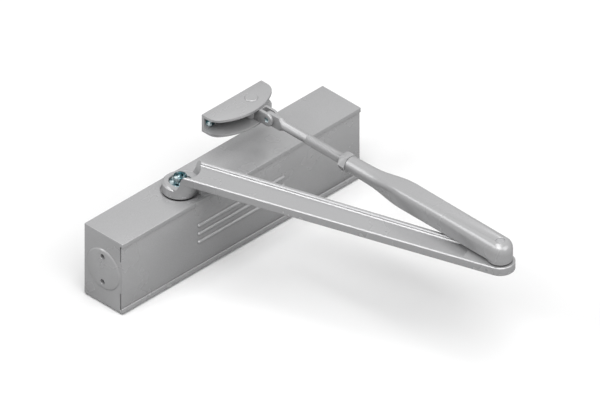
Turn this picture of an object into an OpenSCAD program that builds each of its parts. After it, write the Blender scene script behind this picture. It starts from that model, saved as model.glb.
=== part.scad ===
// Overhead door closer with a rack and pinion in an oil-filled casting and a jointed two-piece arm.
// Origin: centre of the four fixing holes on the casting's back face.
// +X runs along the casting towards the spring end, -Y points at the viewer, +Z is up.
// The model stands as it does on a closed door.

/* [Casting] */
// Length of the casting
casting_length = 246; // [236:1:300]
// Depth of the casting, front to back
casting_depth = 39.5; // [38.5:0.5:48]
// Height of the casting
casting_height = 62; // [60:1:80]
// Diameter of the oil cylinder
cylinder_d = 30; // [29.6:0.1:31]
// Distance of the spindle from the casting's left end
spindle_from_left = 79.2; // [76:0.1:88]
// Height of the lip above the front cover
top_lip = 4; // [2:0.1:5]
// Height of the lip below the front cover
bottom_lip = 4.4; // [2:0.1:5]
// How far the cover lies behind the front of the lips
cover_recess = 0.8; // [0.3:0.1:1.2]
// Width of the narrow space behind the cover, above and below the cylinder's bulge
cover_space = 1; // [0.5:0.1:1.5]
// Height of the cylinder's bulge behind the cover
bulge_height = 28; // [20:1:32]
// Diameter of the shallow recess round the arm's hub
hub_recess_d = 29; // [28.6:0.1:31]
// Depth of the shallow recess round the arm's hub
hub_recess_depth = 1; // [0.5:0.1:1.5]

/* [Fixing holes] */
// Spacing of the fixing holes along the casting
fixing_spacing_x = 198; // [192:1:202]
// Spacing of the fixing holes up the casting
fixing_spacing_z = 43; // [42.5:0.1:43.5]
// Diameter of a fixing hole
fixing_hole_d = 6.5; // [5:0.1:6.6]
// Diameter of the seat for a fixing screw's head
fixing_head_d = 10.5; // [9.5:0.1:10.5]
// Depth of the seat for a fixing screw's head
fixing_head_depth = 6; // [3:0.5:12]

/* [Front cover] */
// Thickness of the cover plate
cover_thickness = 1; // [0.8:0.1:1.2]
// How far the cover stops short of the casting's right end
cover_end_gap = 0.5; // [0:0.1:3]
// Number of raised ribs
rib_count = 3; // [1:1:4]
// Length of a raised rib
rib_length = 90; // [40:1:150]
// Width of a raised rib
rib_width = 3.6; // [2:0.1:5]
// How far a rib stands out of the plate
rib_rise = 1.5; // [0.5:0.1:1.7]
// Spacing of the ribs
rib_pitch = 7.3; // [5.5:0.1:9]
// Distance of the top rib below the casting's top
rib_drop = 22.7; // [15:0.1:25]
// Diameter of a locating peg on the cover's back
cover_peg_d = 3; // [2:0.1:4]
// Length of a locating peg
cover_peg_length = 4.7; // [3:0.1:6]
// Distance of the pegs from the casting's ends
cover_peg_inset = 11; // [6:0.5:13]

/* [End plugs] */
// Diameter of the flange that shows on the end face
plug_flange_d = 34.6; // [34:0.1:36]
// How far the flange stands out of the end face
plug_proud = 1; // [0.5:0.1:3]
// Diameter of the plug's threaded part
plug_thread_d = 32.4; // [32:0.1:33]
// Length of the plug's threaded part
plug_thread_length = 14; // [8:0.5:14]
// Length of the plug's nose that reaches into the cylinder
plug_nose_length = 6; // [5:0.1:6.5]
// Diameter of a spanner hole
spanner_hole_d = 4; // [3:0.1:5]
// Spacing of the two spanner holes
spanner_hole_spacing = 22.3; // [16:0.1:24]
// Depth of a spanner hole
spanner_hole_depth = 5; // [3:0.5:10]

/* [Rack and pinion] */
// Gear module, the pitch diameter over the number of teeth
gear_module = 1.75; // [1.7:0.01:1.8]
// Number of teeth on the pinion
pinion_teeth = 10; // [10:1:10]
// Pressure angle of the teeth
pressure_angle = 25; // [24:0.5:26]
// Height of a pinion tooth above the pitch circle
pinion_addendum = 1.5; // [1.2:0.05:1.5]
// Height of a rack tooth above the pitch line
rack_addendum = 1.4; // [1.1:0.05:1.4]
// Play between the teeth, measured along the pitch line
tooth_play = 0.16; // [0.12:0.02:0.3]
// Width of the pinion's teeth
pinion_width = 16; // [12:0.5:17]
// Largest opening angle of the arm
opening_angle = 180; // [120:5:180]

/* [Spindle] */
// Diameter of the spindle's journals
journal_d = 13; // [12:0.1:13.5]
// Width across the flats of the square that drives the arm
square_width = 9.5; // [9:0.1:10]
// Height of the square above the casting
square_height = 5.6; // [5:0.1:5.8]
// Outer diameter of a spindle bearing
bearing_d = 24; // [23:0.1:25]
// Height of a spindle bearing
bearing_height = 7; // [5:0.1:7.5]
// Outer diameter of a bearing nut
bearing_nut_d = 26; // [25.4:0.1:27]
// Height of a bearing nut
bearing_nut_height = 6.8; // [6:0.1:6.8]
// Thickness of the ring of a spindle seal
spindle_seal_wire = 1.8; // [1.5:0.1:2]
// Distance of the spindle's lower end above the casting's lower recess
spindle_lower_gap = 3.5; // [3:0.1:5]
// Diameter of the cap over the spindle's lower end
spindle_cap_d = 28.4; // [27:0.1:28.5]
// Thickness of the cap over the spindle's lower end
spindle_cap_thickness = 2.1; // [1.5:0.1:4]

/* [Rack piston] */
// Length of the piston's left head, which holds the seal and the check valve
piston_left_head = 16; // [15:0.5:20]
// Length of the piston's right head, which carries the spring
piston_right_head = 17; // [12:0.5:20]
// Width of the piston seal
piston_seal_width = 2.6; // [2:0.1:3]
// Depth of the piston seal's groove
piston_seal_depth = 1.8; // [1:0.1:2.5]
// Distance of the piston seal from the piston's left end
piston_seal_inset = 4; // [3.5:0.1:6]
// Diameter of the check valve's ball
check_ball_d = 5; // [4:0.1:5.5]
// Diameter of the check valve's chamber
check_chamber_d = 8; // [7.5:0.1:9]
// Diameter of the check valve's oil passage
check_passage_d = 3; // [2:0.1:3.5]
// Diameter of the spigots that centre the spring
spring_spigot_d = 15; // [12:0.5:16]
// Length of the spigots that centre the spring
spring_spigot_length = 5; // [2:0.5:8]

/* [Main spring] */
// Thickness of the spring's wire
spring_wire_d = 5.2; // [4:0.1:5.4]
// Outer diameter of the spring
spring_d = 29; // [27:0.1:29]
// Number of turns that work
spring_turns = 12; // [8:1:12]
// Space between the closed end turns
spring_end_space = 0.7; // [0.5:0.05:1]

/* [Valves] */
// Distance of the closing speed valve from the casting's left end
closing_valve_from_left = 48; // [40:1:60]
// Distance of the latch speed valve from the casting's left end
latch_valve_from_left = 112; // [95:1:130]
// Distance of both valves below the cylinder's axis
valve_drop = 22; // [21:0.1:22.5]
// Diameter of a valve screw
valve_d = 6; // [5:0.1:6.4]
// Length of a valve screw's cylindrical part
valve_length = 9; // [8:0.5:9.5]
// Length of a valve screw's conical tip
valve_tip_length = 3; // [2:0.5:3.5]
// Width of a valve screw's slot
valve_slot_width = 1; // [0.8:0.1:1.4]
// Depth of a valve screw's slot
valve_slot_depth = 1.5; // [1:0.1:2]
// Thickness of the ring of a valve seal
valve_seal_wire = 1; // [0.8:0.05:1.1]
// Diameter of an oil passage between a valve and the cylinder
oil_passage_d = 2.2; // [1.5:0.1:2.4]

/* [Main arm] */
// Length of the main arm between its two axes
arm_length = 262.2; // [230:0.1:320]
// Angle between the main arm and the casting's front normal at rest
arm_rest_angle = 18; // [16:0.5:24]
// Height of the arm's underside above the casting
arm_rise = 14.65; // [12:0.05:20]
// Thickness of the arm
arm_thickness = 7; // [5:0.1:10]
// Width of the arm at the hub
arm_hub_width = 26.2; // [24:0.1:26.4]
// Width of the arm at the elbow
arm_tip_width = 22.3; // [20:0.1:26]
// Width of the raised edges beside the arm's channel
channel_edge = 3.3; // [2:0.1:5]
// Depth of the channel in the arm's top
channel_depth = 2.3; // [0.5:0.1:3]
// Distance from the elbow's axis to the end of the channel
channel_stop = 27; // [18:0.5:60]
// Diameter of the hub's collar at its foot
collar_d = 27.4; // [26.8:0.1:27.8]
// Diameter of the hub's collar below its bevel
collar_upper_d = 26.2; // [25.6:0.1:26.6]
// Diameter of the hub's top face
hub_top_d = 24.4; // [22:0.1:25]
// Height of the hub's top face above the casting
hub_top = 7.8; // [7.5:0.1:8.5]
// Diameter of the round pocket that holds the washer
washer_pocket_d = 17; // [16.4:0.1:18]
// Diameter of the scoop round the hub, where it starts at the hub's top
scoop_d = 25.2; // [24.8:0.1:25.6]
// Diameter of the scoop round the hub at the arm's top
scoop_top_d = 33.3; // [32:0.1:36]
// How far the neck leans outwards under the arm
neck_lean = 7; // [3:0.5:12]

/* [Arm screw] */
// Thread diameter of the screw that holds the arm
arm_screw_d = 6; // [5:1:6]
// Length of the arm screw's shank
arm_screw_length = 19; // [12:1:22]
// Diameter of the arm screw's head
arm_screw_head_d = 10; // [9:0.1:11]
// Height of the arm screw's head
arm_screw_head_height = 6; // [4:0.1:7]
// Width across the flats of the arm screw's socket
arm_screw_socket = 5; // [4:0.5:6]
// Depth of the arm screw's socket
arm_screw_socket_depth = 3.5; // [2:0.1:4.5]
// Diameter of the arm washer
arm_washer_d = 16; // [14:0.1:16.2]
// Thickness of the arm washer
arm_washer_thickness = 1.5; // [1:0.1:1.6]

/* [Elbow] */
// Diameter of the elbow pin
elbow_pin_d = 8; // [6:0.5:9]
// Diameter of the elbow pin's head under the arm
elbow_head_d = 14; // [12:0.5:18]
// Height of the elbow pin's head
elbow_head_height = 2; // [1:0.1:3]
// Wall of the elbow bush
elbow_bush_wall = 1; // [0.8:0.1:2]
// Diameter of the elbow bush's flange
elbow_flange_d = 15; // [13:0.5:18]
// Thickness of the elbow bush's flange
elbow_flange_thickness = 0.8; // [0.5:0.1:2]
// Gap between the main arm and the forearm
elbow_gap = 1.05; // [0.9:0.05:2]
// Diameter of the elbow washer
elbow_washer_d = 17; // [12:0.5:18]
// Diameter of the pin's end that shows in the forearm's top
elbow_tip_d = 6.4; // [4:0.1:7]
// Depth of the pin's shoulder below the forearm's top
elbow_shoulder_depth = 4; // [3:0.1:6]

/* [Forearm] */
// Distance between the elbow and the pivot of the frame bracket
forearm_reach = 256.9; // [252:0.1:270]
// Width of the forearm
forearm_width = 18; // [14:0.5:20]
// Height of the forearm at the elbow cap
forearm_cap_height = 16.5; // [15.5:0.1:20]
// Diameter of the elbow cap
forearm_cap_d = 18.5; // [18:0.1:22]
// Distance from the elbow cap's foot up to the forearm's underside
forearm_step = 1.4; // [0.5:0.1:2]
// Radius of the forearm's top edges
forearm_top_radius = 6; // [3:0.5:6.5]
// Radius of the forearm's bottom edges
forearm_bottom_radius = 1; // [0.5:0.1:2]
// Distance from the elbow to where the forearm starts to narrow
forearm_straight = 94.5; // [60:0.5:100]
// Length over which the forearm narrows
forearm_taper = 40; // [25:0.5:45]
// Length of the forearm's round neck
forearm_neck = 20; // [12:0.5:24]
// Diameter of the round neck where it starts
forearm_neck_d = 13.5; // [12:0.1:15]
// Diameter of the round neck at its end
forearm_neck_end_d = 12.6; // [12:0.1:13.5]
// Height of the adjusting rod's axis above the elbow cap's foot
rod_rise = 7.45; // [7.2:0.05:8.5]

/* [Adjusting rod] */
// Thread diameter of the rod
rod_thread_d = 8; // [7:0.5:9]
// Diameter of the plain part of the rod
rod_plain_d = 7.1; // [6:0.1:7.5]
// Length of rod that is screwed into the forearm at rest
rod_engagement = 42; // [30:1:46]
// Length of the threaded part that shows outside the forearm
rod_thread_out = 44; // [30:1:50]
// Thickness of the rod's flat tongue
tongue_thickness = 3.4; // [2.5:0.1:3.8]
// Height of the rod's flat tongue
tongue_height = 10.4; // [8.5:0.1:10.4]
// Length of the tongue's flat in front of the clevis pin
tongue_length = 10.9; // [9:0.1:14]
// How far the rod can be screwed in from rest
rod_travel_in = 8; // [2:1:8]
// Width across the flats of the lock nut
lock_nut_width = 13; // [12:0.5:14]
// Thickness of the lock nut
lock_nut_thickness = 6.5; // [4:0.1:8]

/* [Swivel fork] */
// Distance from the clevis pin to the bracket's pivot
fork_reach = 19.8; // [18:0.1:24]
// Diameter of the fork's barrel
fork_barrel_d = 16.5; // [14:0.1:16.6]
// Thickness of one ear of the fork
fork_ear = 2.2; // [1.8:0.1:3]
// Gap between the fork's ears
fork_gap = 4.4; // [4:0.1:5]
// Depth of the fork's gap behind the clevis pin
fork_gap_depth = 7; // [6:0.1:8]
// Diameter of the clevis pin
clevis_pin_d = 4; // [3:0.1:5]

/* [Frame bracket] */
// Width of the bracket
bracket_width = 61.5; // [58:0.5:70]
// Depth of the bracket, from its back to the front of its curve
bracket_depth = 23.6; // [22:0.1:28]
// Height of the bracket
bracket_height = 15.3; // [14.6:0.1:15.8]
// Thickness of the bracket's two plates
bracket_plate = 2.2; // [1.8:0.1:2.3]
// Thickness of the bracket's back wall
bracket_wall = 2.4; // [1.5:0.1:2.5]
// Radius of the bracket's front curve
bracket_front_radius = 45; // [38:1:60]
// Radius of the bracket's front corners
bracket_corner_radius = 11; // [6:0.5:12]
// Distance of the pivot from the bracket's left end
bracket_pivot_from_left = 40.25; // [32:0.25:43]
// Distance of the pivot from the bracket's back
bracket_pivot_from_back = 11; // [11:0.1:13]
// Diameter of the pivot pin
pivot_pin_d = 7; // [5:0.5:8]
// Diameter of the pivot pin's raised head
pivot_head_d = 10.2; // [9:0.1:12]
// Height of the pivot pin's raised head
pivot_head_height = 1; // [0.5:0.1:2]
// Distance of the bracket's screws from its ends
bracket_screw_inset = 6; // [5.5:0.1:9]
// Diameter of a bracket screw's shank
bracket_screw_d = 4.8; // [4:0.1:5.5]
// Diameter of a bracket screw's head
bracket_screw_head_d = 8.5; // [7:0.1:9]
// Height of a bracket screw's head
bracket_screw_head_height = 2.6; // [1.5:0.1:3]

/* [Clearances] */
// Radial clearance of a shaft that turns or slides in its hole
running_fit = 0.05; // [0.03:0.01:0.08]
// Radial clearance of a part that is fixed in its seat
seat_fit = 0.05; // [0.02:0.01:0.08]
// Gap between flat faces that lie on each other
face_gap = 0.1; // [0.05:0.01:0.15]
// Radial clearance of loose parts
loose_fit = 0.15; // [0.1:0.05:0.2]

/* [Hidden] */
$fn = 64;
cut = 1;
thin = 0.02;
// A blended shape ends this much inside the round bar that it runs into
blend_step = 0.1;
blend_overlap = 0.5;
// The elbow cap's foot is drawn in by this much under the forearm
foot_step = 0.1;

paint = "silver";
steel = "gray";
zinc = "lightsteelblue";
bronze = "darkgoldenrod";
rubber = "dimgray";

left_end = -casting_length / 2;
right_end = casting_length / 2;
front_face = -casting_depth;
casting_top = casting_height / 2;
axis_y = -casting_depth / 2;
spindle_x = left_end + spindle_from_left;
cylinder_r = cylinder_d / 2;

cover_front = front_face + cover_recess;
cover_back = cover_front + cover_thickness;
space_back = cover_back + cover_space;
cover_top = casting_top - top_lip;
cover_bottom = -casting_top + bottom_lip;
// The space behind the cover reaches a little behind the lips
space_above = 0.8;
space_below = 2;
space_top = cover_top + space_above;
space_bottom = cover_bottom - space_below;
peg_hole_reserve = 0.5;
rib_radius = rib_width / 2;

pitch_r = gear_module * pinion_teeth / 2;
base_r = pitch_r * cos(pressure_angle);
pinion_tip_r = pitch_r + pinion_addendum;
tooth_bottom_gap = 0.35;
pinion_root_r = pitch_r - rack_addendum - tooth_bottom_gap;
rack_root = pitch_r + pinion_addendum + tooth_bottom_gap;
rack_tip = pitch_r - rack_addendum;
tooth_pitch = PI * gear_module;
piston_travel = pitch_r * opening_angle * PI / 180;

journal_r = journal_d / 2;
pinion_clearance = 0.75;
spindle_hole_r = pinion_tip_r + pinion_clearance;
// Wall between the oil cylinder and a bearing's seat
bearing_shelf = 1;
bearing_inner = cylinder_r + bearing_shelf;
bearing_outer = bearing_inner + bearing_height;
recess_floor = casting_top - hub_recess_depth;
nut_inner = recess_floor - bearing_nut_height;
nut_bore_gap = 0.2;
nut_bore_r = journal_r + nut_bore_gap;
nut_key_d = 2.5;
nut_key_depth = 2.5;
nut_key_inset = 3;
// Seals have this much room at each side of their grooves
seal_play = 0.1;
spindle_bottom = -recess_floor + spindle_lower_gap;
spindle_top = casting_top + square_height;
cap_spigot_gap = 0.5;
cap_spigot_length = spindle_lower_gap - cap_spigot_gap;
cap_bevel = 0.6;
screw_hole_reserve = 2;

// The window stays clear of the pinion at both ends of the piston's travel
window_margin = 1.5;
window_right = spindle_x + pinion_tip_r + window_margin;
window_left = spindle_x - pinion_tip_r - window_margin - piston_travel;
window_back = pinion_tip_r + pinion_clearance;
piston_left = window_left - piston_left_head;
piston_right = window_right + piston_right_head;
piston_r = cylinder_r - running_fit;
check_chamber_depth = 9;
retainer_thickness = 3;
// The rack is this much wider than the pinion at each side, and its teeth reach this far into the piston
rack_margin = 0.5;

plug_inner = plug_thread_length + plug_nose_length;
plug_nose_r = cylinder_r - 2 * seat_fit;
plug_ring_play = 0.2;
plug_ring_wire = 2.4;
plug_ring_r = cylinder_r - seat_fit - plug_ring_wire / 2;
spring_left = piston_right;
spring_right = right_end - plug_inner;

valve_setback = 0.2;
valve_bottom_gap = 0.5;
valve_tip_gap = 1;
valve_seat_r = oil_passage_d;
valve_cone_r = 0.8 * oil_passage_d;
valve_point_r = 0.6;
valve_seal_play = 0.2;
valve_hole_r = valve_d / 2 + running_fit;
valve_front = space_back + valve_setback;
valve_groove_from = 4;
valve_tip_y = valve_front + valve_length + valve_tip_length;
valve_z = -valve_drop;

arm_bottom = casting_top + arm_rise;
arm_top = arm_bottom + arm_thickness;
arm_angle = arm_rest_angle - 90;
hub_gap = 0.3;
hub_bevel = 1.3;
washer_gap = 0.4;
hub_bottom = casting_top + hub_gap;
hub_face = casting_top + hub_top;
bevel_bottom = hub_face - hub_bevel;
washer_bottom = spindle_top + washer_gap;
washer_top = washer_bottom + arm_washer_thickness;

scoop_slope = (scoop_top_d - scoop_d) / 2 / (arm_top - hub_face);

elbow_x = spindle_x + arm_length * cos(arm_angle);
elbow_y = axis_y + arm_length * sin(arm_angle);
elbow_pin_r = elbow_pin_d / 2;
bush_bore_r = elbow_pin_r + running_fit;
bush_r = bush_bore_r + elbow_bush_wall;
flange_bottom = arm_bottom - elbow_flange_thickness;
elbow_head_top = flange_bottom - face_gap;

cap_foot = arm_top + elbow_gap;
cap_top = cap_foot + forearm_cap_height;
forearm_bottom = cap_foot + forearm_step;
forearm_height = cap_top - forearm_bottom;
elbow_shoulder = cap_top - elbow_shoulder_depth;
elbow_tip_drop = 0.5;
elbow_tip_top = cap_top - elbow_tip_drop;
rod_z = cap_foot + rod_rise;
neck_start = forearm_straight + forearm_taper;
neck_end = neck_start + forearm_neck;

clevis_y = forearm_reach - fork_reach;
rod_inner = neck_end - rod_engagement;
rod_bore_reserve = 4;
rod_chamfer = 1;
rod_thread_end = neck_end + rod_thread_out;
tongue_start = clevis_y - tongue_length;
tongue_side_gap = 0.1;
tongue_x = tongue_side_gap + (tongue_thickness - fork_gap) / 2;
shoulder_length = 4.2;
rod_thread_r = rod_thread_d / 2;

bracket_inside = bracket_height - 2 * bracket_plate;
fork_height = bracket_inside - 2 * loose_fit;
fork_width = fork_gap + 2 * fork_ear;
pivot_x = elbow_x;
pivot_y = elbow_y + forearm_reach;
bracket_left = -bracket_pivot_from_left;
bracket_back = bracket_pivot_from_back;
bracket_bottom = rod_z - bracket_height / 2;
bracket_top = rod_z + bracket_height / 2;

// Helpers

// A cylinder along X from x0 to x1
module bar_x(x0, x1, r) {
    translate([x0, 0, 0])
        rotate([0, 90, 0])
            cylinder(h = x1 - x0, r = r);
}

// A cylinder along Y from y0 to y1
module bar_y(y0, y1, r, r_end = undef) {
    translate([0, y0, 0])
        rotate([-90, 0, 0])
            cylinder(h = y1 - y0, r1 = r, r2 = is_undef(r_end) ? r : r_end);
}

// An upright cylinder from z0 to z1
module post(z0, z1, r, r_end = undef) {
    translate([0, 0, z0])
        cylinder(h = z1 - z0, r1 = r, r2 = is_undef(r_end) ? r : r_end);
}

// A block between two corners
module block(low, high) {
    translate(low)
        cube(high - low);
}

// A round ring about Z
module ring(r, wire) {
    rotate_extrude()
        translate([r, 0])
            circle(d = wire, $fn = 24);
}

module at_cylinder() {
    translate([0, axis_y, 0])
        children();
}

module at_spindle() {
    translate([spindle_x, axis_y, 0])
        children();
}

// The main arm's own frame: X runs from the spindle to the elbow
module along_arm() {
    at_spindle()
        rotate([0, 0, arm_angle])
            children();
}

module at_elbow() {
    translate([elbow_x, elbow_y, 0])
        children();
}

// The forearm's frame: Y runs from the elbow to the bracket at the rod's height
module along_rod() {
    translate([elbow_x, elbow_y, rod_z])
        children();
}

module at_pivot() {
    translate([pivot_x, pivot_y, 0])
        children();
}

module at_fixings() {
    for (x = [-1, 1], z = [-1, 1])
        translate([x * fixing_spacing_x / 2, 0, z * fixing_spacing_z / 2])
            children();
}

module at_cover_pegs() {
    for (x = [left_end + cover_peg_inset, right_end - cover_peg_inset], z = [-1, 1])
        translate([x, 0, z * fixing_spacing_z / 2])
            children();
}

module at_valve(from_left) {
    translate([left_end + from_left, 0, valve_z])
        children();
}

// Casting

module valve_bore(from_left) {
    at_valve(from_left) {
        bar_y(space_back - cut, valve_front + valve_length + valve_bottom_gap, valve_hole_r);
        bar_y(valve_front, valve_tip_y + valve_tip_gap, valve_seat_r);
        // Oil passage up to the cylinder
        translate([0, valve_tip_y - valve_tip_gap, 0])
            cylinder(h = valve_drop - cylinder_r / 2, d = oil_passage_d);
    }
}

module cover_seat() {
    block(
        [left_end - cut, front_face - cut, cover_bottom],
        [right_end + cut, cover_back, cover_top]
    );
    for (band = [[space_bottom, -bulge_height / 2], [bulge_height / 2, space_top]])
        block([left_end - cut, cover_back - thin, band[0]], [right_end + cut, space_back, band[1]]);
}

module spindle_bore() {
    post(-casting_top - cut, casting_top + cut, spindle_hole_r);
    for (side = [-1, 1])
        scale([1, 1, side]) {
            post(bearing_inner, bearing_outer + cut, bearing_d / 2 + seat_fit);
            post(bearing_outer, casting_top + cut, bearing_nut_d / 2 + seat_fit);
            post(recess_floor, casting_top + cut, hub_recess_d / 2);
        }
}

module body_casting() {
    color(paint)
        difference() {
            block([left_end, front_face, -casting_top], [right_end, 0, casting_top]);
            cover_seat();
            at_cylinder() {
                bar_x(left_end - cut, right_end + cut, cylinder_r);
                bar_x(left_end - cut, left_end + plug_thread_length, plug_thread_d / 2 + seat_fit);
                bar_x(right_end - plug_thread_length, right_end + cut, plug_thread_d / 2 + seat_fit);
            }
            at_spindle()
                spindle_bore();
            at_fixings() {
                bar_y(front_face - cut, cut, fixing_hole_d / 2);
                bar_y(front_face - cut, space_back + fixing_head_depth, fixing_head_d / 2);
            }
            at_cover_pegs()
                bar_y(
                    front_face,
                    cover_back + cover_peg_length + peg_hole_reserve,
                    cover_peg_d / 2 + loose_fit
                );
            valve_bore(closing_valve_from_left);
            valve_bore(latch_valve_from_left);
        }
}

// Front cover

module rib(z) {
    inset = rib_radius;
    depth = cover_front + rib_radius - rib_rise;
    half = rib_length / 2 - inset;
    translate([0, depth, z]) {
        bar_x(-half, half, rib_radius);
        for (x = [-half, half])
            translate([x, 0, 0])
                sphere(r = rib_radius, $fn = 32);
    }
}

module front_cover() {
    color(paint) {
        difference() {
            union() {
                block(
                    [left_end, cover_front, cover_bottom + face_gap],
                    [right_end - cover_end_gap, cover_back - thin, cover_top - face_gap]
                );
                for (i = [0:rib_count - 1])
                    rib(casting_top - rib_drop - i * rib_pitch);
            }
            // The ribs' backs are level with the plate's back
            block(
                [left_end - cut, cover_back - thin, -casting_top],
                [right_end + cut, space_back + rib_width, casting_top]
            );
        }
        at_cover_pegs()
            bar_y(cover_front + thin, cover_back + cover_peg_length, cover_peg_d / 2);
    }
}

// End plugs, drawn at the left end and mirrored to the right

module plug_ring_place() {
    translate([left_end + plug_thread_length + plug_nose_length / 2, axis_y, 0])
        rotate([0, 90, 0])
            children();
}

module plug(spigot) {
    difference() {
        union() {
            at_cylinder() {
                translate([left_end - plug_proud, 0, 0])
                    rotate([0, 90, 0])
                        cylinder(
                            h = plug_proud - thin,
                            r1 = plug_flange_d / 2 - plug_proud,
                            r2 = plug_flange_d / 2
                        );
                bar_x(left_end - plug_proud, left_end + plug_thread_length - face_gap, plug_thread_d / 2);
                bar_x(left_end, left_end + plug_inner, plug_nose_r);
                if (spigot)
                    bar_x(left_end, left_end + plug_inner + spring_spigot_length, spring_spigot_d / 2);
            }
        }
        for (z = [-1, 1])
            translate([0, axis_y, z * spanner_hole_spacing / 2])
                bar_x(left_end - plug_proud - cut, left_end + spanner_hole_depth, spanner_hole_d / 2);
        plug_ring_place()
            rotate_extrude()
                translate([
                    plug_ring_r - plug_ring_wire / 2 - seat_fit,
                    -plug_ring_wire / 2 - plug_ring_play
                ])
                    square([cylinder_r, plug_ring_wire + 2 * plug_ring_play]);
    }
}

module end_plug_left() {
    color(steel)
        plug(false);
}

module end_plug_right() {
    color(steel)
        mirror([1, 0, 0])
            plug(true);
}

module end_plug_seals() {
    color(rubber)
        for (side = [0, 1])
            mirror([side, 0, 0])
                plug_ring_place()
                    ring(plug_ring_r, plug_ring_wire);
}

// Pinion and rack

function involute(a) = tan(a) * 180 / PI - a;

// Half the angle that a pinion tooth takes up at radius r
function tooth_half_angle(r) =
    (tooth_pitch - tooth_play) / 4 / pitch_r * 180 / PI
    + involute(pressure_angle)
    - involute(acos(base_r / max(r, base_r)));

function on_circle(r, a) = [r * cos(a), r * sin(a)];

flank_steps = 5;

function flank_radius(i) = base_r + (pinion_tip_r - base_r) * i / flank_steps;

function tooth_outline(a) = concat(
    [on_circle(pinion_root_r, a - tooth_half_angle(base_r))],
    [for (i = [0:flank_steps]) on_circle(flank_radius(i), a - tooth_half_angle(flank_radius(i)))],
    [for (i = [flank_steps:-1:0]) on_circle(flank_radius(i), a + tooth_half_angle(flank_radius(i)))],
    [on_circle(pinion_root_r, a + tooth_half_angle(base_r))]
);

// A tooth points at the rack, which lies on the front side
module pinion() {
    translate([0, 0, -pinion_width / 2])
        linear_extrude(pinion_width)
            polygon([
                for (k = [0:pinion_teeth - 1])
                    each tooth_outline(-90 + k * 360 / pinion_teeth)
            ]);
}

module pinion_spindle() {
    color(steel)
        at_spindle()
            difference() {
                union() {
                    pinion();
                    post(spindle_bottom, casting_top, journal_r);
                    intersection() {
                        post(casting_top - cut, spindle_top, journal_r);
                        rotate([0, 0, arm_angle])
                            block(
                                [-square_width / 2, -square_width / 2, casting_top - cut],
                                [square_width / 2, square_width / 2, spindle_top]
                            );
                    }
                }
                post(
                    washer_top - arm_screw_length - screw_hole_reserve,
                    spindle_top + cut,
                    arm_screw_d / 2 + seat_fit
                );
            }
}

module bearing() {
    difference() {
        post(bearing_inner + face_gap, bearing_outer - face_gap, bearing_d / 2);
        post(bearing_inner - cut, bearing_outer + cut, journal_r + running_fit);
    }
}

module upper_bearing() {
    color(bronze)
        at_spindle()
            bearing();
}

module lower_bearing() {
    color(bronze)
        at_spindle()
            mirror([0, 0, 1])
                bearing();
}

spindle_seal_z = (nut_inner + recess_floor) / 2;
spindle_seal_r = journal_r + running_fit + spindle_seal_wire / 2;

module bearing_nut() {
    difference() {
        post(nut_inner, recess_floor - face_gap, bearing_nut_d / 2);
        post(nut_inner - cut, recess_floor + cut, nut_bore_r);
        post(
            spindle_seal_z - spindle_seal_wire / 2 - seal_play,
            spindle_seal_z + spindle_seal_wire / 2 + seal_play,
            spindle_seal_r + spindle_seal_wire / 2 + seat_fit
        );
        for (side = [-1, 1])
            translate([side * (bearing_nut_d / 2 - nut_key_inset), 0, 0])
                post(recess_floor - nut_key_depth, recess_floor + cut, nut_key_d / 2);
    }
}

module upper_bearing_nut() {
    color(steel)
        at_spindle()
            bearing_nut();
}

module lower_bearing_nut() {
    color(steel)
        at_spindle()
            mirror([0, 0, 1])
                bearing_nut();
}

module spindle_seals() {
    color(rubber)
        at_spindle()
            for (z = [-spindle_seal_z, spindle_seal_z])
                translate([0, 0, z])
                    ring(spindle_seal_r, spindle_seal_wire);
}

module spindle_cap() {
    color(rubber)
        at_spindle() {
            post(
                -recess_floor - face_gap - spindle_cap_thickness,
                -recess_floor - face_gap,
                spindle_cap_d / 2 - cap_bevel,
                spindle_cap_d / 2
            );
            post(-recess_floor - cut, -recess_floor + cap_spigot_length, nut_bore_r - loose_fit);
        }
}

// Piston

module rack_tooth(x) {
    half = (tooth_pitch - tooth_play) / 4;
    slope = tan(pressure_angle);
    half_tip = half - rack_addendum * slope;
    half_root = half + (rack_root - pitch_r) * slope;
    polygon([
        [x - half_root, -rack_root - rack_margin],
        [x - half_root, -rack_root],
        [x - half_tip, -rack_tip],
        [x + half_tip, -rack_tip],
        [x + half_root, -rack_root],
        [x + half_root, -rack_root - rack_margin]
    ]);
}

rack_teeth = floor((piston_travel + tooth_pitch) / tooth_pitch) + 2;

module rack_piston() {
    color(steel)
        at_cylinder() {
            difference() {
                union() {
                    bar_x(piston_left, piston_right, piston_r);
                    bar_x(piston_right - cut, piston_right + spring_spigot_length, spring_spigot_d / 2);
                }
                block([window_left, -rack_root, -cylinder_r], [window_right, window_back, cylinder_r]);
                seal_groove();
                bar_x(piston_left - cut, piston_left + check_chamber_depth, check_chamber_d / 2);
                bar_x(piston_left, window_left + cut, check_passage_d / 2);
            }
            translate([0, 0, -pinion_width / 2 - rack_margin])
                linear_extrude(pinion_width + 2 * rack_margin)
                    for (i = [0:rack_teeth - 1])
                        rack_tooth(spindle_x + (0.5 - i) * tooth_pitch);
        }
}

seal_from = piston_left + piston_seal_inset;

module seal_groove() {
    difference() {
        bar_x(seal_from, seal_from + piston_seal_width + 2 * seal_play, cylinder_r);
        bar_x(seal_from - cut, seal_from + piston_seal_width + cut, piston_r - piston_seal_depth);
    }
}

module piston_seal() {
    color(rubber)
        at_cylinder()
            difference() {
                bar_x(seal_from + seal_play, seal_from + seal_play + piston_seal_width, piston_r);
                bar_x(
                    seal_from - cut,
                    seal_from + piston_seal_width + cut,
                    piston_r - piston_seal_depth + seat_fit
                );
            }
}

module check_valve_ball() {
    color(zinc)
        at_cylinder()
            translate([piston_left + check_chamber_depth - check_ball_d / 2 - seat_fit, 0, 0])
                sphere(d = check_ball_d);
}

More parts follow.
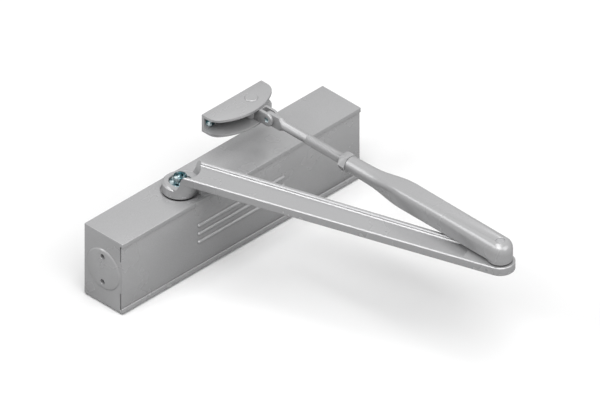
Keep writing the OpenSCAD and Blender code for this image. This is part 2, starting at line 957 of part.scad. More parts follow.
module check_valve_retainer() {
    color(bronze)
        at_cylinder()
            difference() {
                bar_x(piston_left, piston_left + retainer_thickness, check_chamber_d / 2 - seat_fit);
                bar_x(piston_left - cut, piston_left + retainer_thickness + cut, check_passage_d / 2);
            }
}

// Main spring: one unbroken wire with a closed turn at each end

rings_per_turn = 8;
wire_sides = 6;
spring_r = (spring_d - spring_wire_d) / 2;
end_pitch = spring_wire_d + spring_end_space;
wire_reach = spring_right - spring_left - spring_wire_d - 2 * seat_fit;
work_pitch = (wire_reach - 2 * end_pitch) / spring_turns;
all_turns = spring_turns + 2;
ring_total = all_turns * rings_per_turn;

// How far the wire's axis has climbed after t turns
function climb(t) =
    t < 1 ? t * end_pitch
    : t < 1 + spring_turns ? end_pitch + (t - 1) * work_pitch
    : end_pitch + spring_turns * work_pitch + (t - 1 - spring_turns) * end_pitch;

function wire_point(i) =
    let (t = i / rings_per_turn, x = spring_left + seat_fit + spring_wire_d / 2 + climb(t))
        [x, spring_r * cos(t * 360), spring_r * sin(t * 360)];

function wire_ring(i) =
    let (a = i / rings_per_turn * 360, c = wire_point(i), outward = [0, cos(a), sin(a)])
        [for (k = [0:wire_sides - 1])
            let (b = k * 360 / wire_sides + 30)
                c + spring_wire_d / 2 * (cos(b) * outward + sin(b) * [1, 0, 0])];

wire_points = [for (i = [0:ring_total]) each wire_ring(i)];

function side_corner(i, k) = i * wire_sides + k % wire_sides;

wire_faces = concat(
    [[for (k = [0:wire_sides - 1]) k]],
    [for (i = [0:ring_total - 1], k = [0:wire_sides - 1], half = [0, 1])
        half == 0
        ? [side_corner(i, k), side_corner(i + 1, k), side_corner(i + 1, k + 1)]
        : [side_corner(i, k), side_corner(i + 1, k + 1), side_corner(i, k + 1)]],
    [[for (k = [wire_sides - 1:-1:0]) side_corner(ring_total, k)]]
);

// Least gap of the wire to its own next turn, between the axes and less the wire's thickness
spring_self_gap = min([
    for (i = [0:ring_total - rings_per_turn])
        norm(wire_point(i + rings_per_turn) - wire_point(i)) - spring_wire_d
]);
echo(spring_self_gap = spring_self_gap);

module main_spring() {
    color(zinc)
        at_cylinder()
            polyhedron(points = wire_points, faces = wire_faces);
}

// Valves

module valve_screw(from_left) {
    r = valve_d / 2;
    groove_r = r - valve_seal_wire - seat_fit;
    groove_width = valve_seal_wire + 2 * valve_seal_play;
    color(zinc)
        at_valve(from_left)
            difference() {
                union() {
                    bar_y(valve_front, valve_front + valve_length, r);
                    bar_y(valve_front + valve_length - thin, valve_tip_y, valve_cone_r, valve_point_r);
                }
                difference() {
                    bar_y(
                        valve_front + valve_groove_from,
                        valve_front + valve_groove_from + groove_width,
                        r + cut
                    );
                    bar_y(valve_front, valve_front + valve_length, groove_r);
                }
                // Screwdriver slot
                block(
                    [-r - cut, valve_front - cut, -valve_slot_width / 2],
                    [r + cut, valve_front + valve_slot_depth, valve_slot_width / 2]
                );
            }
}

module closing_speed_valve() {
    valve_screw(closing_valve_from_left);
}

module latch_speed_valve() {
    valve_screw(latch_valve_from_left);
}

module valve_seals() {
    y = valve_front + valve_groove_from + valve_seal_wire / 2 + valve_seal_play;
    color(rubber)
        for (from_left = [closing_valve_from_left, latch_valve_from_left])
            at_valve(from_left)
                translate([0, y, 0])
                    rotate([90, 0, 0])
                        ring(valve_d / 2 - valve_seal_wire / 2, valve_seal_wire);
}

// Main arm

arm_start = 5;

// Outline of the arm drawn in by inset on both sides
module arm_outline(from, to, inset) {
    function half_width(x) =
        (arm_hub_width + (arm_tip_width - arm_hub_width) * (x - arm_start) / (arm_length - arm_start)) / 2
        - inset;
    polygon([
        [from, -half_width(from)],
        [to, -half_width(to)],
        [to, half_width(to)],
        [from, half_width(from)]
    ]);
}

module arm_neck() {
    hull() {
        translate([0, 0, hub_bottom + blend_step])
            cylinder(h = thin, r = collar_d / 2 - blend_step, $fn = 48);
        translate([neck_lean, 0, arm_bottom])
            cylinder(h = blend_overlap, r = arm_hub_width / 2 - blend_step, $fn = 48);
    }
}

module main_arm() {
    color(paint)
        along_arm()
            difference() {
                union() {
                    post(hub_bottom, bevel_bottom, collar_d / 2, collar_upper_d / 2);
                    post(bevel_bottom, hub_face, collar_upper_d / 2, hub_top_d / 2);
                    arm_neck();
                    translate([0, 0, arm_bottom])
                        linear_extrude(arm_thickness) {
                            arm_outline(arm_start, arm_length, 0);
                            translate([arm_length, 0])
                                circle(d = arm_tip_width);
                        }
                }
                // Channel in the arm's top
                translate([0, 0, arm_top - channel_depth])
                    linear_extrude(channel_depth + cut)
                        arm_outline(-cut, arm_length - channel_stop, channel_edge);
                // Scoop round the hub
                post(hub_face, arm_top + cut, scoop_d / 2, scoop_top_d / 2 + cut * scoop_slope);
                post(washer_bottom, hub_face + cut, washer_pocket_d / 2);
                square_socket();
                translate([arm_length, 0, 0])
                    post(arm_bottom - cut, arm_top + cut, bush_r + seat_fit);
            }
}

module square_socket() {
    half = square_width / 2 + seat_fit;
    block([-half, -half, hub_bottom - cut], [half, half, hub_face]);
}

module arm_screw() {
    head_top = washer_top + arm_screw_head_height;
    head_r = arm_screw_head_d / 2;
    bevel = 0.5;
    color(zinc)
        along_arm()
            difference() {
                union() {
                    post(washer_top - arm_screw_length, washer_top + thin, arm_screw_d / 2);
                    post(washer_top, head_top - bevel, head_r);
                    post(head_top - bevel, head_top, head_r, head_r - bevel);
                }
                post(
                    head_top - arm_screw_socket_depth,
                    head_top + cut,
                    arm_screw_socket / 2 / cos(30),
                    $fn = 6
                );
            }
}

module arm_washer() {
    color(zinc)
        along_arm()
            difference() {
                post(washer_bottom, washer_top, arm_washer_d / 2);
                post(washer_bottom - cut, washer_top + cut, arm_screw_d / 2 + loose_fit);
            }
}

// Elbow

module elbow_bush() {
    color(bronze)
        at_elbow()
            difference() {
                union() {
                    post(flange_bottom, arm_bottom - thin, elbow_flange_d / 2);
                    post(flange_bottom, arm_top, bush_r);
                }
                post(flange_bottom - cut, arm_top + cut, bush_bore_r);
            }
}

module elbow_pin() {
    color(steel)
        at_elbow() {
            post(elbow_head_top - elbow_head_height, elbow_head_top, elbow_head_d / 2);
            post(elbow_head_top - cut, elbow_shoulder, elbow_pin_r);
            post(elbow_shoulder - cut, elbow_tip_top, elbow_tip_d / 2);
        }
}

module elbow_washer() {
    color(rubber)
        at_elbow()
            difference() {
                post(arm_top + face_gap, cap_foot - face_gap, elbow_washer_d / 2);
                post(arm_top, cap_foot, elbow_pin_r + loose_fit);
            }
}

// Forearm

// Cross-section of the forearm: X across, Y up from its underside
module forearm_section() {
    top_x = forearm_width / 2 - forearm_top_radius;
    bottom_x = forearm_width / 2 - forearm_bottom_radius;
    hull() {
        for (side = [-1, 1]) {
            translate([side * top_x, forearm_height - forearm_top_radius])
                circle(r = forearm_top_radius, $fn = 32);
            translate([side * bottom_x, forearm_bottom_radius])
                circle(r = forearm_bottom_radius, $fn = 32);
        }
    }
}

module forearm_slice(y, thickness) {
    translate([0, y + thickness, forearm_bottom])
        rotate([90, 0, 0])
            linear_extrude(thickness)
                forearm_section();
}

// The domed cap over the elbow, down to the forearm's underside
module forearm_dome() {
    r = forearm_cap_d / 2;
    fillet = forearm_top_radius;
    translate([0, 0, forearm_bottom])
        rotate_extrude($fn = 48)
            intersection() {
                square([r, forearm_height]);
                union() {
                    square([r, forearm_height - fillet]);
                    square([r - fillet, forearm_height]);
                    translate([r - fillet, forearm_height - fillet])
                        circle(r = fillet, $fn = 32);
                }
            }
}

module forearm() {
    color(paint)
        at_elbow()
            difference() {
                union() {
                    hull() {
                        forearm_dome();
                        forearm_slice(forearm_straight - thin, thin);
                    }
                    post(cap_foot, forearm_bottom + forearm_height / 2, forearm_cap_d / 2 - foot_step);
                    hull() {
                        forearm_slice(forearm_straight - thin, thin);
                        translate([0, 0, rod_z])
                            bar_y(
                                neck_start,
                                neck_start + blend_overlap,
                                forearm_neck_d / 2 - blend_step,
                                $fn = 32
                            );
                    }
                    translate([0, 0, rod_z])
                        bar_y(neck_start, neck_end, forearm_neck_d / 2, forearm_neck_end_d / 2);
                }
                post(cap_foot - cut, elbow_shoulder + face_gap, elbow_pin_r + seat_fit);
                post(elbow_shoulder, cap_top + cut, elbow_tip_d / 2 + seat_fit);
                translate([0, 0, rod_z])
                    bar_y(
                        rod_inner - rod_travel_in - rod_bore_reserve,
                        neck_end + cut,
                        rod_thread_r + running_fit
                    );
            }
}

// Rod and lock nut

module adjusting_rod() {
    color(steel)
        along_rod()
            difference() {
                union() {
                    bar_y(rod_inner, rod_inner + rod_chamfer, rod_thread_r - rod_chamfer, rod_thread_r);
                    bar_y(rod_inner + rod_chamfer, rod_thread_end, rod_thread_r);
                    bar_y(rod_thread_end, tongue_start - shoulder_length, rod_plain_d / 2);
                    hull() {
                        bar_y(
                            tongue_start - shoulder_length - blend_overlap,
                            tongue_start - shoulder_length,
                            rod_plain_d / 2 - blend_step,
                            $fn = 32
                        );
                        tongue_block(tongue_start, tongue_start + thin);
                    }
                    tongue_block(tongue_start, clevis_y);
                    tongue_bar(tongue_thickness, tongue_height / 2);
                }
                tongue_bar(tongue_thickness + 2 * cut, clevis_pin_d / 2 + running_fit);
            }
}

module tongue_block(y0, y1) {
    block(
        [tongue_x - tongue_thickness / 2, y0, -tongue_height / 2],
        [tongue_x + tongue_thickness / 2, y1, tongue_height / 2]
    );
}

module tongue_bar(length, r) {
    translate([tongue_x, clevis_y, 0])
        bar_x(-length / 2, length / 2, r);
}

module lock_nut() {
    nut_y = neck_end + face_gap;
    across_corners = lock_nut_width / cos(30);
    color(zinc)
        along_rod()
            difference() {
                intersection() {
                    translate([0, nut_y, 0])
                        rotate([-90, 0, 0])
                            cylinder(h = lock_nut_thickness, d = across_corners, $fn = 6);
                    nut_chamfer(nut_y, across_corners / 2);
                }
                bar_y(nut_y - cut, nut_y + lock_nut_thickness + cut, rod_thread_r + running_fit);
            }
}

// The nut's corners are turned down at both faces
module nut_chamfer(y, r) {
    drop = 0.7;
    bar_y(y, y + drop, r - drop, r);
    bar_y(y + drop, y + lock_nut_thickness - drop, r);
    bar_y(y + lock_nut_thickness - drop, y + lock_nut_thickness, r, r - drop);
}

// Fork

module swivel_fork() {
    color(paint)
        along_rod()
            difference() {
                union() {
                    translate([0, forearm_reach, 0])
                        post(-fork_height / 2, fork_height / 2, fork_barrel_d / 2);
                    block(
                        [-fork_width / 2, clevis_y, -fork_height / 2],
                        [fork_width / 2, forearm_reach, fork_height / 2]
                    );
                    translate([0, clevis_y, 0])
                        bar_x(-fork_width / 2, fork_width / 2, fork_height / 2);
                }
                block(
                    [-fork_gap / 2, clevis_y - fork_height, -fork_height],
                    [fork_gap / 2, clevis_y + fork_gap_depth, fork_height]
                );
                translate([0, clevis_y, 0])
                    bar_x(-fork_width, fork_width, clevis_pin_d / 2 + seat_fit);
                translate([0, forearm_reach, 0])
                    post(-fork_height, fork_height, pivot_pin_d / 2 + running_fit);
            }
}

module clevis_pin() {
    proud = 0.3;
    reach = fork_width / 2 + proud;
    color(zinc)
        along_rod()
            translate([0, clevis_y, 0])
                bar_x(-reach, reach, clevis_pin_d / 2);
}

// Bracket

module bracket_outline() {
    middle = bracket_left + bracket_width / 2;
    front = bracket_back - bracket_depth;
    corner = bracket_corner_radius;
    offset(r = corner)
        offset(delta = -corner)
            intersection() {
                translate([middle, front + bracket_front_radius])
                    circle(r = bracket_front_radius, $fn = 180);
                translate([bracket_left, front])
                    square([bracket_width, bracket_depth + corner]);
            }
}

module bracket_plates() {
    intersection() {
        linear_extrude(bracket_top - bracket_bottom)
            bracket_outline();
        block(
            [bracket_left, bracket_back - bracket_depth, 0],
            [bracket_left + bracket_width, bracket_back, bracket_height]
        );
    }
}

module at_bracket_screws() {
    right = bracket_left + bracket_width - bracket_screw_inset;
    for (x = [bracket_left + bracket_screw_inset, right])
        translate([x, 0, rod_z])
            children();
}

module frame_bracket() {
    color(paint)
        at_pivot()
            difference() {
                translate([0, 0, bracket_bottom])
                    bracket_plates();
                block(
                    [bracket_left - cut, bracket_back - bracket_depth - cut, bracket_bottom + bracket_plate],
                    [
                        bracket_left + bracket_width + cut,
                        bracket_back - bracket_wall,
                        bracket_top - bracket_plate
                    ]
                );
                post(bracket_bottom - cut, bracket_top + cut, pivot_pin_d / 2 + seat_fit);
                at_bracket_screws()
                    bar_y(bracket_back - bracket_depth, bracket_back + cut, bracket_screw_d / 2 + loose_fit);
            }
}

module pivot_pin() {
    color(paint)
        at_pivot() {
            post(bracket_bottom, bracket_top + thin, pivot_pin_d / 2);
            post(
                bracket_top,
                bracket_top + pivot_head_height,
                pivot_head_d / 2,
                pivot_head_d / 2 - pivot_head_height / 2
            );
        }
}

module bracket_screws() {
    wall_face = bracket_back - bracket_wall;
    head_face = wall_face - bracket_screw_head_height;
    head_bevel = 0.9;
    recess_depth = 1.4;
    recess_width = 1;
    recess_reach = 0.3 * bracket_screw_head_d;
    color(zinc)
        at_pivot()
            at_bracket_screws()
                difference() {
                    union() {
                        bar_y(wall_face - thin, bracket_back, bracket_screw_d / 2);
                        bar_y(
                            head_face,
                            wall_face,
                            bracket_screw_head_d / 2 - head_bevel,
                            bracket_screw_head_d / 2
                        );
                    }
                    // Cross recess
                    for (half = [[recess_reach, recess_width / 2], [recess_width / 2, recess_reach]])
                        block(
                            [-half[0], head_face - cut, -half[1]],
                            [half[0], head_face + recess_depth, half[1]]
                        );
                }
}

body_casting();
front_cover();
end_plug_left();
end_plug_right();
end_plug_seals();
pinion_spindle();
upper_bearing();
lower_bearing();
upper_bearing_nut();
lower_bearing_nut();
spindle_seals();
spindle_cap();
rack_piston();
piston_seal();
check_valve_ball();
check_valve_retainer();
main_spring();
closing_speed_valve();
latch_speed_valve();
valve_seals();
main_arm();
arm_screw();
arm_washer();
elbow_bush();
elbow_pin();
elbow_washer();
forearm();
adjusting_rod();
lock_nut();
swivel_fork();
clevis_pin();
frame_bracket();
pivot_pin();
bracket_screws();
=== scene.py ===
import math
from contextlib import contextmanager

import bmesh
import bpy
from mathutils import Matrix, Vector


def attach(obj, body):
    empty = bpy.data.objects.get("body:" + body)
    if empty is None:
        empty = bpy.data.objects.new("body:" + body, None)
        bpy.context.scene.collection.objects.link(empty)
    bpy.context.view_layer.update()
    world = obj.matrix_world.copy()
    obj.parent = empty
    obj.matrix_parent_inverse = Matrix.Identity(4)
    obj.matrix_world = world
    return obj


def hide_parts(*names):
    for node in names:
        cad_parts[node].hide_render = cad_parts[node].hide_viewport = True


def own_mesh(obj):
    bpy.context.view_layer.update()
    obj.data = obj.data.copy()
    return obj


bl_info = {
    "name": "Overhead Door Closer",
    "version": (1, 0, 0),
    "blender": (4, 5, 0),
    "location": "3D Viewport > Sidebar > Door Closer",
    "description": "Models an overhead door closer with its jointed arm round its packed frame",
    "category": "Add Mesh",
}

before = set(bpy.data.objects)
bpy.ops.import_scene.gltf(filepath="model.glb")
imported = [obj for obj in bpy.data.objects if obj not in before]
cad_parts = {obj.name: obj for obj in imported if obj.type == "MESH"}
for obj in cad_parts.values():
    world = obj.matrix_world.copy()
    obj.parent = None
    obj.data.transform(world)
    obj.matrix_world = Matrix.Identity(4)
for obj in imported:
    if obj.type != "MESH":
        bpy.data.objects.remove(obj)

MM = 0.001

# Places in the row frame, in mm, as the frame has them
SPINDLE = (-43.8, -19.75)
ELBOW = (37.2243, -269.1171)
PIVOT_Y = -12.2171
CLEVIS_Y = -32.0171
ROD_Z = 61.15
ARM_TURN = math.radians(-72)
CYLINDER_Y = SPINDLE[1]
CASTING_END = 123
CASTING_TOP = 31
COVER_BACK = -37.7
FIXING_HOLES = [(x, z) for x in (-99, 99) for z in (-21.5, 21.5)]
PEG_HOLES = [(x, z) for x in (-112, 112) for z in (-21.5, 21.5)]
VALVES = ((-75, -22), (-11, -22))
ARM_BOTTOM, ARM_TOP = 45.65, 52.65
FOREARM_TOP = 70.2
BRACKET_BOTTOM = 53.5
BRACKET_SCREW_X = 2.974
FLOOR_Z = -32.3

# The stage, in m and W: a softbox has its direction from the closer, its size and its power
LAMPS = {
    "left softbox": ((-0.663, 0.174, 0.727), (1.4, 1.1), 38),
    "middle softbox": ((-0.355, -0.455, 0.816), (5.0, 3.6), 210),
    "right softbox": ((0.33, -0.75, 0.57), (3.6, 2.8), 78),
    "back softbox": ((-0.62, 0.577, 0.53), (1.8, 3.6), 50),
    "top softbox": ((0, 0, 1), (4.2, 4.2), 160),
}
LAMPS_AIM = (0.03, -0.1, 0)
LAMP_DISTANCE = 6
CAMERA_AIM = (0.04653, -0.05310, -0.00656)
CAMERA_DISTANCE = 1.5


# Handling

def in_mm(value):
    return value / MM


def deselect_all():
    if bpy.context.mode != "OBJECT":
        bpy.ops.object.mode_set(mode="OBJECT")
    bpy.ops.object.select_all(action="DESELECT")


def pick(piece):
    deselect_all()
    piece.select_set(True)
    bpy.context.view_layer.objects.active = piece


@contextmanager
def editing(piece):
    """Edit mode on one piece, with all of it selected."""
    pick(piece)
    bpy.ops.object.mode_set(mode="EDIT")
    bpy.ops.mesh.select_mode(type="VERT")
    bpy.ops.mesh.select_all(action="SELECT")
    yield
    bpy.ops.object.mode_set(mode="OBJECT")


def settle(piece, turn=(0, 0, 0), place=(0, 0, 0)):
    """Turns and moves a piece about the origin and puts both into its mesh."""
    pick(piece)
    bpy.ops.object.transform_apply(location=True, rotation=True, scale=True)
    piece.rotation_euler = turn
    piece.location = [value * MM for value in place]
    bpy.ops.object.transform_apply(location=True, rotation=True, scale=True)
    return piece


def take_new(name):
    """Names the object that was just added and puts its place and scale into its mesh."""
    piece = bpy.context.active_object
    piece.name = name
    piece.data.name = name
    pick(piece)
    bpy.ops.object.transform_apply(location=True, rotation=True, scale=True)
    return piece


def tidy_mesh(piece):
    """Merges doubles and points all faces outwards."""
    with editing(piece):
        bpy.ops.mesh.remove_doubles(threshold=0.000002)
        bpy.ops.mesh.normals_make_consistent(inside=False)
    return piece


def select_where(piece, mode, wanted):
    """Selects only the edges or faces for which wanted holds."""
    bpy.ops.mesh.select_mode(type=mode)
    bpy.ops.mesh.select_all(action="DESELECT")
    mesh = bmesh.from_edit_mesh(piece.data)
    for part in mesh.edges if mode == "EDGE" else mesh.faces:
        part.select_set(bool(wanted(part)))
    bmesh.update_edit_mesh(piece.data)


def select_edges(piece, wanted):
    """Selects the edges for which wanted(end, other end) holds, both ends in mm."""
    select_where(piece, "EDGE", lambda edge: wanted(*(end.co / MM for end in edge.verts)))


def select_faces(piece, wanted):
    """Selects the faces for which wanted(centre in mm, normal) holds."""
    select_where(piece, "FACE", lambda face: wanted(face.calc_center_median() / MM, face.normal))


def round_edges(piece, wanted, width, segments=3):
    """Bevels the edges that wanted picks by place."""
    with editing(piece):
        select_edges(piece, wanted)
        bpy.ops.mesh.bevel(offset=width * MM, segments=segments, affect="EDGES", profile=0.5)
    return piece


def soften(piece, width, segments=2, angle=35):
    """Rounds every edge sharper than angle."""
    pick(piece)
    bpy.ops.object.modifier_add(type="BEVEL")
    step = piece.modifiers[-1]
    step.width = width * MM
    step.segments = segments
    step.limit_method = "ANGLE"
    step.angle_limit = math.radians(angle)
    step.use_clamp_overlap = True
    bpy.ops.object.modifier_apply(modifier=step.name)
    return piece


def combine(piece, tool, operation):
    """Applies a boolean of a piece with a tool and removes the tool."""
    pick(piece)
    bpy.ops.object.modifier_add(type="BOOLEAN")
    step = piece.modifiers[-1]
    step.operation = operation
    step.solver = "EXACT"
    step.object = tool
    bpy.ops.object.modifier_apply(modifier=step.name)
    mesh = tool.data
    bpy.data.objects.remove(tool, do_unlink=True)
    bpy.data.meshes.remove(mesh)
    if not piece.data.polygons:
        raise RuntimeError(piece.name + " has no faces left")
    return piece


def cut(piece, *tools):
    for tool in tools:
        combine(piece, tool, "DIFFERENCE")
    return piece


def unite(piece, *tools):
    for tool in tools:
        combine(piece, tool, "UNION")
    return piece


# Forms

def block(name, low, high):
    """A block between two corners."""
    deselect_all()
    bpy.ops.mesh.primitive_cube_add(size=1, location=(0, 0, 0))
    piece = bpy.context.active_object
    piece.scale = [(b - a) * MM for a, b in zip(low, high)]
    piece.location = [(a + b) / 2 * MM for a, b in zip(low, high)]
    return take_new(name)


def turned(name, profile, sides=64, hollow=False):
    """A piece turned about Z, whose ring goes from one (radius, height) to the next."""
    deselect_all()
    radius, height = profile[0]
    bpy.ops.mesh.primitive_circle_add(
        vertices=sides,
        radius=radius * MM,
        location=(0, 0, height * MM),
        fill_type="NOTHING" if hollow else "NGON",
    )
    piece = take_new(name)
    with editing(piece):
        for next_radius, next_height in profile[1:] + (profile[:1] if hollow else []):
            move = {"value": (0, 0, (next_height - height) * MM)}
            if hollow:
                bpy.ops.mesh.extrude_edges_move(TRANSFORM_OT_translate=move)
            else:
                bpy.ops.mesh.extrude_region_move(TRANSFORM_OT_translate=move)
            scale = next_radius / radius
            bpy.ops.transform.resize(value=(scale, scale, 1), center_override=(0, 0, 0))
            radius, height = next_radius, next_height
    return tidy_mesh(piece)


def rod(name, radius, low, high, sides=64):
    return turned(name, [(radius, low), (radius, high)], sides)


def drawn(name, start, moves, low, high):
    """A slab between two heights whose outline is drawn from start by straight moves and arcs."""
    deselect_all()
    bpy.ops.mesh.primitive_plane_add(size=MM, location=(start[0] * MM, start[1] * MM, low * MM))
    piece = take_new(name)
    at = start
    with editing(piece):
        bpy.ops.mesh.merge(type="CENTER")
        for move in moves:
            if move[0] == "line":
                step = ((move[1] - at[0]) * MM, (move[2] - at[1]) * MM, 0)
                bpy.ops.mesh.extrude_vertices_move(TRANSFORM_OT_translate={"value": step})
                at = move[1:3]
            else:
                centre, degrees, steps = move[1:3], move[3], move[4]
                bpy.ops.mesh.spin(
                    steps=steps,
                    angle=-math.radians(degrees),
                    center=(centre[0] * MM, centre[1] * MM, low * MM),
                    axis=(0, 0, 1),
                )
                turn = math.radians(degrees)
                x, y = at[0] - centre[0], at[1] - centre[1]
                at = (
                    centre[0] + x * math.cos(turn) - y * math.sin(turn),
                    centre[1] + x * math.sin(turn) + y * math.cos(turn),
                )
        bpy.ops.mesh.select_all(action="SELECT")
        bpy.ops.mesh.remove_doubles(threshold=0.000005)
        bpy.ops.mesh.select_all(action="SELECT")
        bpy.ops.mesh.edge_face_add()
        bpy.ops.mesh.extrude_region_move(
            TRANSFORM_OT_translate={"value": (0, 0, (high - low) * MM)}
        )
    return tidy_mesh(piece)


def thread(name, radius, pitch, low, high, sides=24, steps=8):
    """A screw thread about Z: a grid rolled into a tube whose radius follows the pitch."""
    deselect_all()
    depth = 0.6 * pitch
    rings = round((high - low) / pitch * steps)
    bpy.ops.mesh.primitive_grid_add(x_subdivisions=sides, y_subdivisions=rings, size=1)
    piece = take_new(name)
    for vertex in piece.data.vertices:
        turn = vertex.co.x + 0.5
        height = low + (vertex.co.y + 0.5) * (high - low)
        from_crest = abs((height / pitch - turn) % 1 - 0.5) * 2
        reach = radius - depth * min(1, max(0, (from_crest - 0.14) / 0.72))
        angle = 2 * math.pi * turn
        vertex.co = (
            reach * math.cos(angle) * MM, reach * math.sin(angle) * MM, height * MM
        )
    with editing(piece):
        bpy.ops.mesh.remove_doubles(threshold=0.000002)
        bpy.ops.mesh.select_all(action="DESELECT")
        bpy.ops.mesh.select_mode(type="EDGE")
        bpy.ops.mesh.select_non_manifold(extend=False)
        bpy.ops.mesh.fill_holes(sides=0)
    return tidy_mesh(piece)


def along_x(piece, x=0, y=0, z=0):
    """Lays a piece that was turned about Z along +X."""
    return settle(piece, (0, math.radians(90), 0), (x, y, z))


def along_y(piece, x=0, y=0, z=0):
    """Lays a piece that was turned about Z along +Y."""
    return settle(piece, (math.radians(-90), 0, 0), (x, y, z))


def on_arm(piece):
    """Moves a piece that was made about the origin, along +X, to the spindle and the main arm."""
    return settle(piece, (0, 0, ARM_TURN), (SPINDLE[0], SPINDLE[1], 0))


def at_spindle(piece):
    return settle(piece, place=(SPINDLE[0], SPINDLE[1], 0))


def at_elbow(piece):
    return settle(piece, place=(ELBOW[0], ELBOW[1], 0))


def copied(piece, place):
    """A copy of a piece, moved by place."""
    pick(piece)
    bpy.ops.object.duplicate()
    return settle(bpy.context.active_object, place=place)


def joined(name, pieces):
    """One object of several separate solids."""
    deselect_all()
    for piece in pieces:
        piece.select_set(True)
    bpy.context.view_layer.objects.active = pieces[0]
    bpy.ops.object.join()
    piece = bpy.context.active_object
    piece.name = name
    piece.data.name = name
    return piece


def dress(piece, node, body, slot):
    """Smooths a finished piece, gives it its finish and puts it in its node's stead."""
    pick(piece)
    bpy.ops.object.shade_smooth_by_angle(angle=math.radians(32))
    piece.data.materials.clear()
    piece.data.materials.append(slot_finish(slot))
    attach(piece, body)
    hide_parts(node)


# Finishes

def new_finish(name):
    """A node material with its shader and the piece's own coordinates."""
    finish = bpy.data.materials.new(name)
    finish.use_nodes = True
    tree = finish.node_tree
    tree.nodes.clear()
    output = tree.nodes.new("ShaderNodeOutputMaterial")
    shader = tree.nodes.new("ShaderNodeBsdfPrincipled")
    tree.links.new(shader.outputs["BSDF"], output.inputs["Surface"])
    place = tree.nodes.new("ShaderNodeTexCoord")
    return finish, tree, shader, place.outputs["Object"]


def add_noise(tree, place, scale, detail=2.0, stretch=(1, 1, 1)):
    mapping = tree.nodes.new("ShaderNodeMapping")
    mapping.inputs["Scale"].default_value = stretch
    noise = tree.nodes.new("ShaderNodeTexNoise")
    noise.inputs["Scale"].default_value = scale
    noise.inputs["Detail"].default_value = detail
    tree.links.new(place, mapping.inputs["Vector"])
    tree.links.new(mapping.outputs["Vector"], noise.inputs["Vector"])
    return noise.outputs["Fac"]


def add_ramp(tree, fac, stops):
    """Colours from (position, colour) stops."""
    ramp = tree.nodes.new("ShaderNodeValToRGB")
    keys = ramp.color_ramp.elements
    keys[0].position, keys[0].color = stops[0][0], (*stops[0][1], 1)
    keys[1].position, keys[1].color = stops[-1][0], (*stops[-1][1], 1)
    for position, colour in stops[1:-1]:
        keys.new(position).color = (*colour, 1)
    tree.links.new(fac, ramp.inputs["Fac"])
    return ramp.outputs["Color"]


def add_range(tree, fac, low, high):
    span = tree.nodes.new("ShaderNodeMapRange")
    span.inputs["To Min"].default_value = low
    span.inputs["To Max"].default_value = high
    tree.links.new(fac, span.inputs["Value"])
    return span.outputs["Result"]


def add_bump(tree, height, strength, distance):
    bump = tree.nodes.new("ShaderNodeBump")
    bump.inputs["Strength"].default_value = strength
    bump.inputs["Distance"].default_value = distance
    tree.links.new(height, bump.inputs["Height"])
    return bump


def shade(colour, factor):
    return tuple(min(1.0, value * factor) for value in colour)


def grained_finish(
    name, colour, grain, contrast, metallic, roughness, bump, stretch=(1, 1, 1), rim=1.0
):
    """A finish with a fine grain in its colour, its gloss and its surface."""
    finish, tree, shader, place = new_finish(name)
    fine = add_noise(tree, place, grain, 2.0, stretch)
    broad = add_noise(tree, place, 35.0, 3.0)
    stops = [
        (0.25, shade(colour, 1 - contrast)), (0.5, colour), (0.78, shade(colour, 1 + contrast)),
    ]
    tree.links.new(add_ramp(tree, fine, stops), shader.inputs["Base Color"])
    tree.links.new(add_range(tree, broad, *roughness), shader.inputs["Roughness"])
    shader.inputs["Metallic"].default_value = metallic
    shader.inputs["Specular Tint"].default_value = (rim, rim, rim, 1)
    relief = add_bump(tree, fine, bump[0], bump[1] * MM)
    tree.links.new(relief.outputs["Normal"], shader.inputs["Normal"])
    return finish


def zinc_with_painted_reflections(name, light):
    """Blue-passivated zinc plating, mirror-bright, with its own bluish tint; its near-black and
    teal-grey patches are painted reflections of dark surroundings.
    """
    finish, tree, shader, place = new_finish(name)
    painted_reflections = add_noise(tree, place, 210.0, 1.0)
    # The near-black and teal-grey stops paint dark reflections into the colour; the light stop is
    # the zinc's own colour.
    stops = [
        (0.38, (0.02, 0.06, 0.07)), (0.46, (0.14, 0.21, 0.23)), (0.54, (0.45, 0.53, 0.55)),
        (0.63, light),
    ]
    tree.links.new(add_ramp(tree, painted_reflections, stops), shader.inputs["Base Color"])
    tree.links.new(add_range(tree, painted_reflections, 0.1, 0.22), shader.inputs["Roughness"])
    shader.inputs["Metallic"].default_value = 1.0
    relief = add_bump(tree, add_noise(tree, place, 900.0), 0.05, 0.05 * MM)
    tree.links.new(relief.outputs["Normal"], shader.inputs["Normal"])
    return finish


# The grained finishes by material slot, in the order of grained_finish's values: the roughness
# runs from low to high, a bump has its strength and its height in mm
GRAINS = {
    "gear_steel": (
        "ground steel", (0.5, 0.5, 0.51), 700.0, 0.12, 1.0, (0.25, 0.38), (0.1, 0.05), (1, 1, 6),
    ),
    "spring_steel": (
        "shot-peened spring steel", (0.3, 0.31, 0.33), 1400.0, 0.2, 0.9, (0.4, 0.55), (0.3, 0.1),
    ),
    "bronze": ("sintered bronze", (0.55, 0.4, 0.2), 1800.0, 0.2, 0.9, (0.35, 0.5), (0.2, 0.08)),
    "seal_rubber": ("seal rubber", (0.03, 0.03, 0.03), 1200.0, 0.2, 0.0, (0.55, 0.7), (0.1, 0.05)),
    "grey_plastic": (
        "grey moulded plastic", (0.4, 0.4, 0.41), 1500.0, 0.05, 0.0, (0.45, 0.58), (0.15, 0.06),
    ),
    "black_plastic": (
        "black moulded plastic", (0.04, 0.04, 0.04), 1500.0, 0.1, 0.0, (0.4, 0.55), (0.12, 0.06),
    ),
}


def silver_paint(name, colour):
    return grained_finish(name, colour, 2600.0, 0.09, 0.33, (0.25, 0.29), (0.05, 0.1), rim=0.3)


